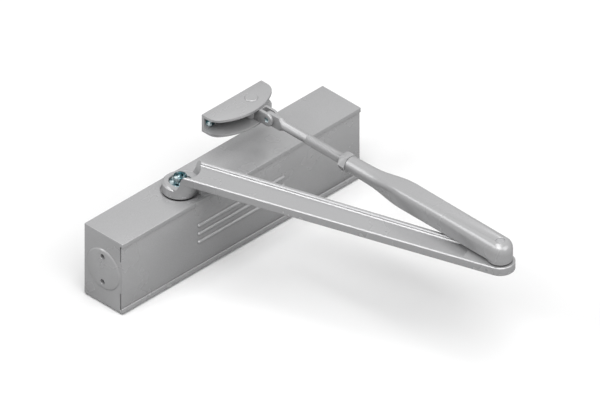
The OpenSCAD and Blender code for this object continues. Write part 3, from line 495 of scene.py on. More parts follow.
def slot_finish(slot):
    """The one finish that all pieces of a material slot share."""
    settings = bpy.context.scene.closer_finishes
    if slot == "silver_paint":
        make, look = silver_paint, ("silver paint", tuple(settings.paint))
    elif slot == "zinc_plate":
        make, look = zinc_with_painted_reflections, ("zinc plate with painted reflections", tuple(settings.zinc))
    else:
        make, look = grained_finish, GRAINS[slot]
    return bpy.data.materials.get(look[0]) or make(*look)


# Sizes and colours

def length(name, description, default):
    return bpy.props.FloatProperty(
        name=name, description=description, default=default, subtype="DISTANCE", unit="LENGTH"
    )


def strength(name, description, default):
    return bpy.props.FloatProperty(
        name=name, description=description, default=default, min=0.0, subtype="FACTOR"
    )


def tint(name, description, default):
    return bpy.props.FloatVectorProperty(
        name=name, description=description, default=default, subtype="COLOR", size=3,
        min=0.0, max=1.0,
    )


class CloserCasting(bpy.types.PropertyGroup):
    edge: length("Edge", "Radius of the casting's edges", 0.0004)
    top_lip: length("Top lip", "Height of the lip above the cover", 0.004)
    bottom_lip: length("Bottom lip", "Height of the lip below the cover", 0.0044)
    rib_length: length("Rib length", "Length of a raised rib", 0.09)
    rib_radius: length("Rib radius", "Radius of a raised rib", 0.0018)


class CloserArm(bpy.types.PropertyGroup):
    span: length("Length", "Distance between the arm's two axes", 0.2622)
    hub_width: length("Hub width", "Width of the arm at the hub", 0.0262)
    tip_width: length("Tip width", "Width of the arm at the elbow", 0.0223)
    channel_edge: length("Channel edge", "Width of the edges beside the channel", 0.0033)
    channel_depth: length("Channel depth", "Depth of the channel", 0.0023)


class CloserForearm(bpy.types.PropertyGroup):
    cap_radius: length("Cap radius", "Radius of the cap over the elbow", 0.0094)
    half_width: length("Half width", "Half the width of the forearm", 0.009)
    top_radius: length("Top radius", "Radius of the forearm's top edges", 0.006)
    thread_pitch: length("Thread pitch", "Pitch of the adjusting rod's thread", 0.00125)


class CloserFinishes(bpy.types.PropertyGroup):
    paint: tint("Paint", "Colour of the silver paint", (0.43, 0.43, 0.435))
    zinc: tint("Zinc", "Colour of the zinc plating", (0.78, 0.9, 0.92))


class CloserStage(bpy.types.PropertyGroup):
    view_width: length("View width", "Width of the camera's view", 0.43796)
    sky: strength("Sky", "Strength of the even light from all sides", 0.1)
    floor: strength("Floor", "Colour of the floor as it lights the part", 0.15)
    floor_seen: strength("Floor seen", "Colour of the floor as it is seen", 0.95)


# Operators

class CLOSER_OT_casting(bpy.types.Operator):
    """Model the casting with its cylinder, bores and lips"""

    bl_idname = "closer.casting"
    bl_label = "Casting"

    def execute(self, context):
        sizes = context.scene.closer_casting
        edge = in_mm(sizes.edge)
        top = CASTING_TOP - in_mm(sizes.top_lip)
        bottom = -CASTING_TOP + in_mm(sizes.bottom_lip)
        casting = block(
            "casting_shell", (-CASTING_END, -39.5, -CASTING_TOP), (CASTING_END, 0, CASTING_TOP)
        )
        cut(
            casting,
            block("tool", (-130, -45, bottom), (130, COVER_BACK, top)),
            block("tool", (-130, -38, -28.6), (130, -36.7, -14)),
            block("tool", (-130, -38, 14), (130, -36.7, 27.8)),
        )
        soften(casting, edge, 3)
        cut(
            casting,
            along_x(rod("tool", 15, -130, 130, 96), y=CYLINDER_Y),
            self.plug_seat(-1),
            self.plug_seat(1),
            self.spindle_bore(),
        )
        for x, z in FIXING_HOLES:
            cut(
                casting,
                along_y(rod("tool", 3.25, -45, 5, 40), x, 0, z),
                along_y(rod("tool", 5.25, -45, -30.7, 48), x, 0, z),
            )
        for x, z in PEG_HOLES:
            cut(casting, along_y(rod("tool", 1.65, -45, -32.5, 24), x, 0, z))
        for x, z in VALVES:
            cut(
                casting,
                along_y(rod("tool", 3.05, -45, -27, 32), x, 0, z),
                along_y(rod("tool", 2.2, -36.5, -23.5, 24), x, 0, z),
                settle(rod("tool", 1.1, z, -15, 24), place=(x, -25.5, 0)),
            )
        tidy_mesh(casting)
        dress(casting, "body_casting", "casting", "silver_paint")
        return {"FINISHED"}

    def plug_seat(self, side):
        """The threaded mouth for a plug with its bevel, at the left (-1) or right (1) end."""
        profile = [(16.25, side * 109), (16.25, side * 122.6), (17.4, side * 123.8)]
        return along_x(turned("tool", profile, 96), y=CYLINDER_Y)

    def spindle_bore(self):
        """The bore with its two bearing seats, nut seats and shallow recesses."""
        half = [
            (11, 0), (11, 16), (12.05, 16), (12.05, 23), (13.05, 23), (13.05, 30), (14.5, 30),
            (14.5, 30.6), (15.2, 31.3),
        ]
        profile = [(r, -z) for r, z in reversed(half)] + half[1:]
        return at_spindle(turned("tool", profile, 96))


class CLOSER_OT_cover(bpy.types.Operator):
    """Model the recessed front cover with its raised ribs and locating pegs"""

    bl_idname = "closer.cover"
    bl_label = "Front Cover"

    def execute(self, context):
        sizes = context.scene.closer_casting
        radius = in_mm(sizes.rib_radius)
        half = in_mm(sizes.rib_length) / 2 - radius
        face = COVER_BACK - 1
        cover = block("cover_plate", (-CASTING_END, face, -26.5), (122.5, COVER_BACK - 0.02, 26.9))
        soften(cover, 0.2, 2)
        for z in (8.3, 1.0, -6.3):
            rib = along_x(self.rib(radius, half), 0, -38.4, z)
            unite(cover, cut(rib, block("tool", (-60, -37.9, z - 5), (60, -30, z + 5))))
        for x, z in PEG_HOLES:
            peg = turned("peg", [(1.5, -38.2), (1.5, -33.3), (1.2, -33.0)], 24)
            unite(cover, along_y(peg, x, 0, z))
        tidy_mesh(cover)
        dress(cover, "front_cover", "cover", "silver_paint")
        return {"FINISHED"}

    def rib(self, radius, half):
        """A round bar with domed ends."""
        dome = [
            (radius * math.sin(math.radians(a)), half + radius * math.cos(math.radians(a)))
            for a in (6, 20, 35, 50, 65, 80, 90)
        ]
        profile = [(r, -z) for r, z in dome] + [(r, z) for r, z in reversed(dome)]
        return turned("rib", profile, 32)


class CLOSER_OT_plugs(bpy.types.Operator):
    """Model the two end plugs with bevelled flanges and spanner holes"""

    bl_idname = "closer.plugs"
    bl_label = "End Plugs"

    def execute(self, context):
        left = self.plug("left_plug")
        right = self.plug("right_plug", spigot=True)
        with editing(right):
            bpy.ops.transform.resize(value=(-1, 1, 1), center_override=(0, 0, 0))
        tidy_mesh(right)
        dress(left, "end_plug_left", "casting", "silver_paint")
        dress(right, "end_plug_right", "casting", "silver_paint")
        return {"FINISHED"}

    def plug(self, name, spigot=False):
        """A plug as it sits in the left end, with a groove for its seal."""
        profile = [
            (16.0, -124), (16.3, -123.9), (17.2, -123.0), (16.2, -122.98), (16.2, -109.1),
            (14.9, -109.1), (14.9, -107.4), (12.5, -107.4), (12.5, -104.6), (14.9, -104.6),
            (14.9, -103.3), (14.6, -103),
        ]
        if spigot:
            profile += [(7.5, -103), (7.5, -98.4), (7.1, -98)]
        plug = along_x(turned(name, profile, 96), y=CYLINDER_Y)
        for z in (-11.15, 11.15):
            hole = turned("tool", [(2.4, -124.5), (2.0, -123.6), (2.0, -118)], 32)
            cut(plug, along_x(hole, 0, CYLINDER_Y, z))
        return tidy_mesh(plug)


class CLOSER_OT_spindle_cap(bpy.types.Operator):
    """Model the cap over the spindle's lower end"""

    bl_idname = "closer.spindle_cap"
    bl_label = "Spindle Cap"

    def execute(self, context):
        profile = [
            (13.2, -32.2), (13.6, -32.1), (14.1, -30.5), (14.2, -30.1), (6.55, -30.1),
            (6.55, -27.3), (6.25, -27.0),
        ]
        cap = at_spindle(turned("lower_cap", profile, 96))
        dress(cap, "spindle_cap", "cap", "grey_plastic")
        return {"FINISHED"}


class CLOSER_OT_main_arm(bpy.types.Operator):
    """Model the main arm with its hub, leaning neck and channelled bar"""

    bl_idname = "closer.main_arm"
    bl_label = "Main Arm"

    def execute(self, context):
        sizes = context.scene.closer_arm
        span = in_mm(sizes.span)
        wide = in_mm(sizes.hub_width) / 2
        narrow = in_mm(sizes.tip_width) / 2
        bar = drawn(
            "arm_bar",
            (5, -wide),
            [
                ("line", span, -narrow), ("arc", span, 0, 180, 32), ("line", 5, wide),
                ("line", 5, -wide),
            ],
            ARM_BOTTOM,
            ARM_TOP,
        )
        round_edges(
            bar, lambda a, b: max(a.z, b.z) < ARM_BOTTOM + 0.05 and max(a.x, b.x) > 5.1, 0.5, 3
        )
        round_edges(
            bar, lambda a, b: min(a.z, b.z) > ARM_TOP - 0.05 and max(a.x, b.x) > 5.1, 0.65, 1
        )
        collar = turned("collar", [(12.9, 31.3), (13.7, 32.0), (13.35, 38.2), (11.75, 39.8)], 96)
        unite(bar, self.neck(), collar)
        cut(bar, self.scoop())
        tidy_mesh(bar)
        cut(bar, self.channel(sizes, wide, narrow, span))
        cut(
            bar,
            turned("tool", [(8.5, 37.0), (8.5, 39.5), (8.9, 40.0)], 64),
            block("tool", (-4.8, -4.8, 30), (4.8, 4.8, 38)),
            settle(rod("tool", 5.1, 45, 53, 48), place=(span, 0, 0)),
        )
        on_arm(tidy_mesh(bar))
        dress(bar, "main_arm", "arm", "silver_paint")
        return {"FINISHED"}

    def neck(self):
        """The leaning neck from the collar up into the bar."""
        low_radius, high_radius, lean, rise = 13.5, 13.0, 7, 14.15
        deselect_all()
        bpy.ops.mesh.primitive_circle_add(
            vertices=64, radius=low_radius * MM, location=(0, 0, 31.5 * MM), fill_type="NGON"
        )
        neck = take_new("neck")
        with editing(neck):
            bpy.ops.mesh.extrude_region_move(
                TRANSFORM_OT_translate={"value": (lean * MM, 0, rise * MM)}
            )
            scale = high_radius / low_radius
            bpy.ops.transform.resize(value=(scale, scale, 1), center_override=(lean * MM, 0, 0))
            bpy.ops.mesh.extrude_region_move(TRANSFORM_OT_translate={"value": (0, 0, 0.8 * MM)})
        return tidy_mesh(neck)

    def channel(self, sizes, wide, narrow, span):
        """The channel's cutter, with rounded bottom edges and a flared mouth."""
        edge = in_mm(sizes.channel_edge)
        floor = ARM_TOP - in_mm(sizes.channel_depth)
        stop = span - 27
        end = wide + (narrow - wide) * (stop - 5) / (span - 5) - edge
        start = wide + 0.1 - edge
        tool = drawn(
            "tool",
            (-1, -start),
            [("line", stop, -end), ("line", stop, end), ("line", -1, start), ("line", -1, -start)],
            floor,
            ARM_TOP - 0.7,
        )
        with editing(tool):
            select_faces(tool, lambda centre, normal: normal.z > 0.9)
            bpy.ops.mesh.extrude_region_move(TRANSFORM_OT_translate={"value": (0, 0, 1.0 * MM)})
            bpy.ops.transform.resize(
                value=(1 + 2.0 / stop, 1 + 1.0 / end, 1), center_override=(stop / 2 * MM, 0, 0)
            )
        round_edges(tool, lambda a, b: max(a.z, b.z) < floor + 0.01, 0.7, 1)
        return tool

    def scoop(self):
        """The round hollow over the hub, with a narrow gap round the hub's bevel."""
        return turned("tool", [(13.6, 39.8), (15.1, 50.3), (16.0, ARM_TOP), (16.2, 53.2)], 96)


class CLOSER_OT_hub_fasteners(bpy.types.Operator):
    """Model the socket-head screw and the washer that hold the arm"""

    bl_idname = "closer.hub_fasteners"
    bl_label = "Hub Fasteners"

    def execute(self, context):
        washer = turned(
            "hub_washer",
            [(3.15, 37.0), (3.15, 38.5), (7.8, 38.5), (8.0, 38.3), (8.0, 37.2), (7.8, 37.0)],
            64,
            True,
        )
        screw = turned(
            "hub_screw",
            [
                (2.4, 19.5), (3.0, 20.1), (3.0, 38.51), (5.0, 38.51), (5.0, 43.9), (4.85, 44.3),
                (4.5, 44.5),
            ],
            60,
        )
        self.knurl(screw)
        cut(
            screw,
            rod("tool", 5 / 2 / math.cos(math.radians(30)), 41.0, 46, 6),
            turned("tool", [(2.5, 44.0), (3.2, 44.7)], 48),
        )
        tidy_mesh(screw)
        dress(on_arm(washer), "arm_washer", "arm", "zinc_plate")
        dress(on_arm(screw), "arm_screw", "arm", "zinc_plate")
        return {"FINISHED"}

    def knurl(self, screw):
        """Presses every other side of the screw's head in a little."""
        with editing(screw):
            step = math.radians(12)
            select_faces(
                screw,
                lambda centre, normal: 38.6 < centre.z < 43.8
                and abs(normal.z) < 0.1
                and int((math.atan2(centre.y, centre.x) + math.pi) / step * 2) % 2 == 0,
            )
            bpy.ops.mesh.inset(thickness=0.04 * MM, depth=-0.12 * MM, use_individual=True)


class CLOSER_OT_elbow(bpy.types.Operator):
    """Model the elbow's bush, pin and washer"""

    bl_idname = "closer.elbow"
    bl_label = "Elbow"

    def execute(self, context):
        bush = turned(
            "elbow_flanged_bush",
            [
                (4.05, 44.85), (4.05, ARM_TOP), (4.9, ARM_TOP), (5.05, 52.5), (5.05, 45.63),
                (7.3, 45.63), (7.5, 45.4), (7.5, 45.0), (7.35, 44.85),
            ],
            64,
            True,
        )
        pin = turned(
            "elbow_headed_pin",
            [
                (6.4, 42.75), (6.85, 42.85), (7.0, 43.1), (7.0, 44.75), (4.0, 44.75), (4.0, 66.2),
                (3.2, 66.2), (3.2, 69.5), (3.0, 69.7), (0.1, 69.7),
            ],
            64,
        )
        washer = turned(
            "elbow_spacer",
            [(4.15, 52.75), (4.15, 54.0), (8.9, 54.0), (9.1, 53.8), (9.1, 52.95), (8.9, 52.75)],
            64,
            True,
        )
        dress(at_elbow(bush), "elbow_bush", "arm", "bronze")
        dress(at_elbow(pin), "elbow_pin", "forearm", "gear_steel")
        dress(at_elbow(washer), "elbow_washer", "forearm", "black_plastic")
        return {"FINISHED"}


class CLOSER_OT_forearm(bpy.types.Operator):
    """Model the forearm with its domed cap and round neck"""

    bl_idname = "closer.forearm"
    bl_label = "Forearm"

    def execute(self, context):
        sizes = context.scene.closer_forearm
        cap = in_mm(sizes.cap_radius)
        half = in_mm(sizes.half_width)
        top_radius = in_mm(sizes.top_radius)
        straight = 94.5
        forearm = self.bar(cap, half, straight, top_radius)
        self.taper(forearm, straight)
        foot = drawn(
            "foot",
            (9.35, 0),
            [
                ("line", 9.35, 1.0), ("arc", 0, 1.0, 180, 32), ("line", -9.35, 0),
                ("arc", 0, 0, 180, 32),
            ],
            54.1,
            60,
        )
        unite(forearm, foot)
        cut(
            forearm,
            rod("tool", 4.05, 50, 66.3, 48),
            turned("tool", [(3.25, 66), (3.25, 69.92), (4.1, 70.4)], 48),
            along_y(turned("tool", [(4.05, 100.5), (4.05, 154.0), (4.6, 154.9)], 48), 0, 0, ROD_Z),
        )
        at_elbow(tidy_mesh(forearm))
        dress(forearm, "forearm", "forearm", "silver_paint")
        return {"FINISHED"}

    def bar(self, cap, half, straight, top_radius):
        """The straight bar with its domed round end and an open far end."""
        bar = drawn(
            "forearm_bar",
            (half, straight),
            [("line", half * (1 - step / 4), straight) for step in range(1, 9)]
            + [("line", -cap, 0), ("arc", 0, 0, 180, 48), ("line", half, straight)],
            55.1,
            57.0,
        )
        with editing(bar):
            for rise in (1.5, 1.5, 1.5, 1.5, 1.0, 6.2):
                select_faces(bar, lambda centre, normal: normal.z > 0.9)
                bpy.ops.mesh.extrude_region_move(
                    TRANSFORM_OT_translate={"value": (0, 0, rise * MM)}
                )
            select_faces(bar, lambda centre, normal: normal.y > 0.9)
            bpy.ops.mesh.delete(type="FACE")

        def near_end(a, b):
            return min(a.y, b.y) < straight - 0.01

        top = FOREARM_TOP - 0.01
        round_edges(bar, lambda a, b: min(a.z, b.z) > top and near_end(a, b), top_radius, 10)
        round_edges(bar, lambda a, b: max(a.z, b.z) < 55.11 and near_end(a, b), 1.0, 3)
        self.dome(bar, cap, top_radius)
        return bar

    def dome(self, bar, cap, top_radius):
        """Rounds the cap off more and more towards its front."""
        low = 57
        rise = 13.2
        for vertex in bar.data.vertices:
            x, y, z = vertex.co / MM
            reach = math.hypot(x, y)
            if y > -0.01 or z < low + 0.01:
                continue
            fuller = top_radius + 2.5 * (y / reach) ** 2
            if z < FOREARM_TOP - 0.01 - top_radius:
                z = low + (z - low) * (rise - fuller) / (rise - top_radius)
            else:
                sine = min(1, max(0, (reach - cap + top_radius) / top_radius))
                scale = (cap - fuller * (1 - sine)) / reach
                x, y = x * scale, y * scale
                z = FOREARM_TOP - fuller * (1 - math.sqrt(1 - sine * sine))
            vertex.co = (x * MM, y * MM, z * MM)

    def taper(self, bar, straight):
        """Bridges the bar's open end to the round neck."""
        taper, neck = straight + 40, straight + 59.6
        radius, end_radius, chamfer_radius = 6.75, 6.3, 5.9
        rim = [
            edge for edge in bar.data.edges
            if min(bar.data.vertices[i].co.y for i in edge.vertices) > (straight - 0.001) * MM
        ]
        deselect_all()
        bpy.ops.mesh.primitive_circle_add(
            vertices=len(rim), radius=radius * MM, fill_type="NOTHING",
            location=(0, taper * MM, ROD_Z * MM), rotation=(math.radians(90), 0, 0),
        )
        ring = take_new("neck_ring")
        joined(bar.name, [bar, ring])
        with editing(bar):
            select_edges(
                bar,
                lambda a, b: abs(a.y - b.y) < 0.001 and a.y > straight - 0.001,
            )
            bpy.ops.mesh.bridge_edge_loops(number_cuts=12, interpolation="LINEAR")
            self.ease(bar, straight)
            select_edges(bar, lambda a, b: min(a.y, b.y) > taper - 0.01)
            scale = end_radius / radius
            bpy.ops.mesh.extrude_edges_move(TRANSFORM_OT_translate={"value": (0, 19.6 * MM, 0)})
            bpy.ops.transform.resize(
                value=(scale, 1, scale), center_override=(0, neck * MM, ROD_Z * MM)
            )
            bpy.ops.mesh.extrude_edges_move(TRANSFORM_OT_translate={"value": (0, 0.4 * MM, 0)})
            scale = chamfer_radius / end_radius
            bpy.ops.transform.resize(
                value=(scale, 1, scale), center_override=(0, (neck + 0.4) * MM, ROD_Z * MM)
            )
            bpy.ops.mesh.edge_face_add()
        return tidy_mesh(bar)

    def ease(self, bar, straight):
        """Slides the bridge's rings along the forearm, so that it starts and ends gently."""
        mesh = bmesh.from_edit_mesh(bar.data)
        for vertex in mesh.verts:
            share = (vertex.co.y / MM - straight) / 40
            if 0.01 < share < 0.99:
                eased = 0.5 - math.sin(math.asin(1 - 2 * share) / 3)
                vertex.co.y = (straight + 40 * eased) * MM
        bmesh.update_edit_mesh(bar.data)


class CLOSER_OT_adjusting_rod(bpy.types.Operator):
    """Model the threaded rod with its plain shank and flat tongue"""

    bl_idname = "closer.adjusting_rod"
    bl_label = "Adjusting Rod"

    def execute(self, context):
        pitch = in_mm(context.scene.closer_forearm.thread_pitch)
        screw = along_y(thread("threaded_rod", 4.0, pitch, -156.6, -70.6), 0, 0, 0)
        shank = along_y(turned("shank", [(3.3, -71.4), (3.55, -70.6), (3.55, -46.6)], 48))
        unite(screw, shank, self.shoulder(), self.tongue())
        cut(screw, settle(along_x(rod("tool", 2.05, -10, 10, 32)), place=(0, CLEVIS_Y, 0)))
        settle(tidy_mesh(screw), place=(ELBOW[0], 0, ROD_Z))
        dress(screw, "adjusting_rod", "rod", "silver_paint")
        return {"FINISHED"}

    def shoulder(self):
        """The solid blend from the round shank to the flat tongue."""
        ring = along_y(rod("shoulder", 3.5, -47.6, -47.1, 48))
        foot = block("foot", (-2.05, -42.9, -5.1), (1.25, -42.3, 5.1))
        shoulder = joined("shoulder", [ring, foot])
        with editing(shoulder):
            bpy.ops.mesh.convex_hull()
        return tidy_mesh(shoulder)

    def tongue(self):
        """The flat with its round end, drawn lying down and stood on edge."""
        tongue = drawn(
            "tongue",
            (-5.2, -42.9),
            [
                ("line", 5.2, -42.9), ("line", 5.2, CLEVIS_Y), ("arc", 0, CLEVIS_Y, 180, 24),
                ("line", -5.2, -42.9),
            ],
            -1.7,
            1.7,
        )
        round_edges(tongue, lambda a, b: abs(a.z - b.z) < 0.01 and max(a.y, b.y) > -42.8, 0.3, 2)
        return settle(tongue, (0, math.radians(90), 0), (-0.4, 0, 0))


class CLOSER_OT_lock_nut(bpy.types.Operator):
    """Model the lock nut with its chamfered corners"""

    bl_idname = "closer.lock_nut"
    bl_label = "Lock Nut"

    def execute(self, context):
        low, high = -114.517, -108.017
        corner = 13 / 2 / math.cos(math.radians(30))
        nut = rod("rod_lock_nut", corner, low, high, 6)
        # The chamfers' cones run past the nut's ends, because faces that coincide spoil the cut
        bite, low_height, high_height, past = 0.8, 0.417, 0.433, 0.3
        cones = [
            (corner - bite * (1 + past / low_height), low - past),
            (corner, low + low_height),
            (corner, high - high_height),
            (corner - bite * (1 + past / high_height), high + past),
        ]
        combine(nut, turned("tool", cones, 96), "INTERSECT")
        soften(nut, 0.12, 1, 25)
        cut(
            nut,
            rod("tool", 4.05, -120, -100, 48),
            turned("tool", [(4.5, -115), (4.0, -113.9)], 48),
            turned("tool", [(4.0, -108.6), (4.5, -107.5)], 48),
        )
        settle(tidy_mesh(nut), (0, 0, math.radians(30)))
        along_y(nut, ELBOW[0], 0, ROD_Z)
        dress(nut, "lock_nut", "nut", "silver_paint")
        return {"FINISHED"}


class CLOSER_OT_fork(bpy.types.Operator):
    """Model the swivel fork and the pin through its ears"""

    bl_idname = "closer.fork"
    bl_label = "Fork"

    def execute(self, context):
        y = PIVOT_Y
        barrel = turned("fork_barrel", [(7.9, -5.3), (8.25, -4.95), (8.25, 4.95), (7.9, 5.3)], 64)
        settle(barrel, place=(0, y, 0))
        neck = drawn(
            "neck",
            (-5.3, y),
            [
                ("line", -5.3, CLEVIS_Y), ("arc", 0, CLEVIS_Y, 180, 24), ("line", 5.3, y),
                ("line", -5.3, y),
            ],
            -4.4,
            4.4,
        )
        round_edges(neck, lambda a, b: abs(a.z - b.z) < 0.01 and min(a.y, b.y) < y - 0.1, 0.4, 2)
        settle(neck, (0, math.radians(90), 0))
        unite(barrel, neck)
        slot = block("tool", (-2.2, CLEVIS_Y - 12, -11), (2.2, CLEVIS_Y + 7, 11))
        cut(
            barrel,
            slot,
            settle(along_x(rod("tool", 2.05, -10, 10, 32)), place=(0, CLEVIS_Y, 0)),
            settle(rod("tool", 3.55, -10, 10, 48), place=(0, y, 0)),
        )
        settle(tidy_mesh(barrel), place=(ELBOW[0], 0, ROD_Z))
        pin = along_x(
            turned("clevis_rivet", [(1.7, -4.7), (2.0, -4.45), (2.0, 4.45), (1.7, 4.7)], 32),
            ELBOW[0],
            CLEVIS_Y,
            ROD_Z,
        )
        dress(barrel, "swivel_fork", "fork", "silver_paint")
        dress(pin, "clevis_pin", "fork", "zinc_plate")
        return {"FINISHED"}


class CLOSER_OT_bracket(bpy.types.Operator):
    """Model the D-shaped frame bracket, its pivot pin and its screws"""

    bl_idname = "closer.bracket"
    bl_label = "Frame Bracket"

    def execute(self, context):
        left, right, back, front = -3.026, 58.474, -1.217, -24.817
        middle = (left + right) / 2
        side = self.corner_place(left, front)
        bracket = drawn(
            "bracket_plate",
            (right, back),
            [
                ("line", left, back),
                ("line", left, side[1]),
                ("arc", left + 11, side[1], side[2], 14),
                ("arc", middle, front + 45, 180 - 2 * side[2], 36),
                ("arc", right - 11, side[1], side[2], 14),
                ("line", right, back),
            ],
            BRACKET_BOTTOM,
            68.8,
        )
        round_edges(bracket, lambda a, b: abs(a.z - b.z) < 0.01, 0.35, 2)
        gap = block("tool", (left - 5, front - 5, 55.7), (right + 5, -3.617, 66.6))
        round_edges(gap, lambda a, b: min(a.y, b.y) > -4 and abs(a.z - b.z) < 0.01, 0.5, 3)
        cut(bracket, settle(rod("tool", 3.55, 50, 72, 48), place=(ELBOW[0], PIVOT_Y, 0)), gap)
        spacing = 49.5
        for x in (BRACKET_SCREW_X, BRACKET_SCREW_X + spacing):
            cut(bracket, along_y(rod("tool", 2.55, -30, 3, 32), x, 0, ROD_Z))
        dress(tidy_mesh(bracket), "frame_bracket", "bracket", "silver_paint")
        pin = turned(
            "pivot_rivet",
            [
                (3.2, BRACKET_BOTTOM), (3.5, 53.8), (3.5, 68.82), (5.1, 68.82), (4.75, 69.6),
                (4.5, 69.8),
            ],
            64,
        )
        settle(pin, place=(ELBOW[0], PIVOT_Y, 0))
        dress(pin, "pivot_pin", "bracket", "silver_paint")
        screw = self.screw()
        second = copied(screw, (spacing, 0, 0))
        screws = joined("bracket_screw_pair", [screw, second])
        dress(screws, "bracket_screws", "bracket", "zinc_plate")
        return {"FINISHED"}

    def corner_place(self, left, front):
        """The x and y of a corner arc's centre and the degrees that it turns."""
        half_width, radius, corner = 30.75, 45, 11
        reach = math.asin((half_width - corner) / (radius - corner))
        y = front + radius - (radius - corner) * math.cos(reach)
        return left + corner, y, 90 - math.degrees(reach)

    def screw(self):
        """The left screw, with a cross recess in its domed head."""
        profile = [
            (2.3, -1.35), (2.4, -1.45), (2.4, -3.64), (4.25, -3.64), (4.1, -4.4), (3.7, -5.5),
            (3.35, -6.1), (3.0, -6.2),
        ]
        x = BRACKET_SCREW_X
        screw = along_y(turned("screw", profile, 48), x, 0, ROD_Z)
        for wide, high in ((2.5, 0.5), (0.5, 2.5)):
            low = (x - wide, -7, ROD_Z - high)
            cut(screw, block("tool", low, (x + wide, -4.8, ROD_Z + high)))
        return tidy_mesh(screw)


class CLOSER_OT_inner_finishes(bpy.types.Operator):
    """Give the pieces that keep their frame mesh their finishes, and give the spring a mesh of its
    own
    """

    bl_idname = "closer.inner_finishes"
    bl_label = "Inner Finishes"

    def execute(self, context):
        slots = {
            "seal_rubber": ("end_plug_seals", "spindle_seals", "piston_seal", "valve_seals"),
            "gear_steel": (
                "pinion_spindle", "upper_bearing_nut", "lower_bearing_nut", "rack_piston",
                "check_valve_ball",
            ),
            "bronze": ("upper_bearing", "lower_bearing", "check_valve_retainer"),
            "spring_steel": ("main_spring",),
            "zinc_plate": ("closing_speed_valve", "latch_speed_valve"),
        }
        for slot, nodes in slots.items():
            for node in nodes:
                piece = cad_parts[node]
                piece.data.materials.clear()
                piece.data.materials.append(slot_finish(slot))
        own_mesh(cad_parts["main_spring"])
        return {"FINISHED"}


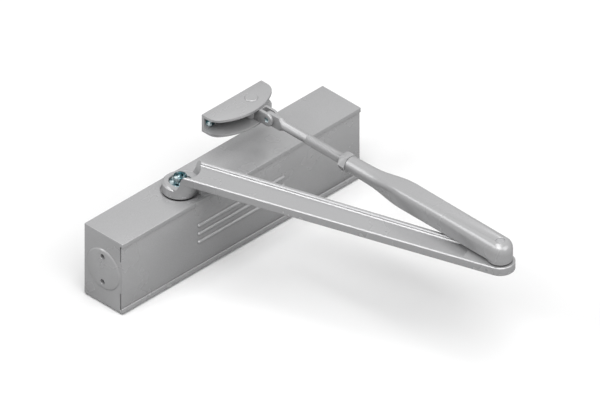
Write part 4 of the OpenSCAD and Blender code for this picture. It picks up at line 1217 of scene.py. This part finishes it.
class CLOSER_OT_stage(bpy.types.Operator):
    """Set up the floor, the lights and the camera"""

    bl_idname = "closer.stage"
    bl_label = "Stage"

    def execute(self, context):
        settings = context.scene.closer_stage
        context.scene.view_settings.view_transform = "Standard"
        self.floor(settings)
        self.sky(context, settings)
        for name, (way, size, power) in LAMPS.items():
            self.lamp(name, way, size, power)
        self.camera(context, settings)
        return {"FINISHED"}

    def seen_directly(self, tree):
        """1 for camera, glossy and transmission rays, else 0."""
        rays = tree.nodes.new("ShaderNodeLightPath")
        result = rays.outputs["Is Camera Ray"]
        for name in ("Is Glossy Ray", "Is Transmission Ray"):
            either = tree.nodes.new("ShaderNodeMath")
            either.operation = "MAXIMUM"
            tree.links.new(result, either.inputs[0])
            tree.links.new(rays.outputs[name], either.inputs[1])
            result = either.outputs[0]
        return result

    def floor(self, settings):
        """A pale floor whose colour is brighter where it is seen than where it lights the part."""
        deselect_all()
        bpy.ops.mesh.primitive_plane_add(size=12, location=(0, 0, FLOOR_Z * MM))
        floor = take_new("floor")
        finish, tree, shader, place = new_finish("pale floor")
        dim, bright = settings.floor, settings.floor_seen
        mix = tree.nodes.new("ShaderNodeMix")
        mix.data_type = "RGBA"
        mix.inputs["A"].default_value = (dim, dim, dim, 1)
        mix.inputs["B"].default_value = (bright, bright, bright, 1)
        tree.links.new(self.seen_directly(tree), mix.inputs["Factor"])
        diffuse = tree.nodes.new("ShaderNodeBsdfDiffuse")
        tree.links.new(mix.outputs["Result"], diffuse.inputs["Color"])
        output = next(node for node in tree.nodes if node.type == "OUTPUT_MATERIAL")
        tree.nodes.remove(shader)
        tree.links.new(diffuse.outputs["BSDF"], output.inputs["Surface"])
        floor.data.materials.append(finish)

    def sky(self, context, settings):
        """A dim even light that is white where it is seen."""
        world = bpy.data.worlds.new("studio")
        context.scene.world = world
        world.use_nodes = True
        tree = world.node_tree
        tree.nodes.clear()
        output = tree.nodes.new("ShaderNodeOutputWorld")
        light = tree.nodes.new("ShaderNodeBackground")
        seen = tree.nodes.new("ShaderNodeBackground")
        mix = tree.nodes.new("ShaderNodeMixShader")
        light.inputs["Color"].default_value = (1, 1, 1, 1)
        light.inputs["Strength"].default_value = settings.sky
        seen.inputs["Color"].default_value = (1, 1, 1, 1)
        seen.inputs["Strength"].default_value = 1.0
        tree.links.new(self.seen_directly(tree), mix.inputs["Fac"])
        tree.links.new(light.outputs["Background"], mix.inputs[1])
        tree.links.new(seen.outputs["Background"], mix.inputs[2])
        tree.links.new(mix.outputs["Shader"], output.inputs["Surface"])

    def lamp(self, name, way, size, power):
        """A softbox in one direction, aimed at the closer."""
        way = Vector(way).normalized()
        deselect_all()
        place = Vector(LAMPS_AIM) + way * LAMP_DISTANCE
        bpy.ops.object.light_add(type="AREA", location=place)
        lamp = bpy.context.active_object
        lamp.name = name
        lamp.data.shape = "RECTANGLE"
        lamp.data.size, lamp.data.size_y = size
        lamp.data.energy = power
        lamp.rotation_euler = (-way).to_track_quat("-Z", "Y").to_euler()

    def camera(self, context, settings):
        """The photo's isometric camera."""
        back = Vector((-1, -1, 1)).normalized()
        deselect_all()
        bpy.ops.object.camera_add(location=Vector(CAMERA_AIM) + back * CAMERA_DISTANCE)
        camera = bpy.context.active_object
        camera.name = "photo camera"
        camera.rotation_euler = (-back).to_track_quat("-Z", "Y").to_euler()
        camera.data.type = "ORTHO"
        camera.data.ortho_scale = settings.view_width
        context.scene.camera = camera


class CLOSER_PT_panel(bpy.types.Panel):
    """Lists the closer's sizes, finishes and pieces"""

    bl_idname = "CLOSER_PT_panel"
    bl_label = "Overhead Door Closer"
    bl_space_type = "VIEW_3D"
    bl_region_type = "UI"
    bl_category = "Door Closer"

    def draw(self, context):
        layout = self.layout
        for name, (title, group) in GROUPS.items():
            box = layout.box()
            box.label(text=title)
            settings = getattr(context.scene, name)
            for prop in group.__annotations__:
                box.prop(settings, prop)
        column = layout.column(align=True)
        for operator in OPERATORS:
            column.operator(operator.bl_idname)


GROUPS = {
    "closer_casting": ("Casting", CloserCasting),
    "closer_arm": ("Main arm", CloserArm),
    "closer_forearm": ("Forearm", CloserForearm),
    "closer_finishes": ("Finishes", CloserFinishes),
    "closer_stage": ("Stage", CloserStage),
}

OPERATORS = (
    CLOSER_OT_casting,
    CLOSER_OT_cover,
    CLOSER_OT_plugs,
    CLOSER_OT_spindle_cap,
    CLOSER_OT_main_arm,
    CLOSER_OT_hub_fasteners,
    CLOSER_OT_elbow,
    CLOSER_OT_forearm,
    CLOSER_OT_adjusting_rod,
    CLOSER_OT_lock_nut,
    CLOSER_OT_fork,
    CLOSER_OT_bracket,
    CLOSER_OT_inner_finishes,
    CLOSER_OT_stage,
)


def register():
    for name, (_, group) in GROUPS.items():
        bpy.utils.register_class(group)
        setattr(bpy.types.Scene, name, bpy.props.PointerProperty(type=group))
    for item in (*OPERATORS, CLOSER_PT_panel):
        bpy.utils.register_class(item)


def unregister():
    for item in reversed((*OPERATORS, CLOSER_PT_panel)):
        bpy.utils.unregister_class(item)
    for name, (_, group) in GROUPS.items():
        delattr(bpy.types.Scene, name)
        bpy.utils.unregister_class(group)


def main():
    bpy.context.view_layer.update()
    register()
    for operator in OPERATORS:
        group, name = operator.bl_idname.split(".")
        getattr(getattr(bpy.ops, group), name)()
    deselect_all()


if __name__ == "__main__":
    main()
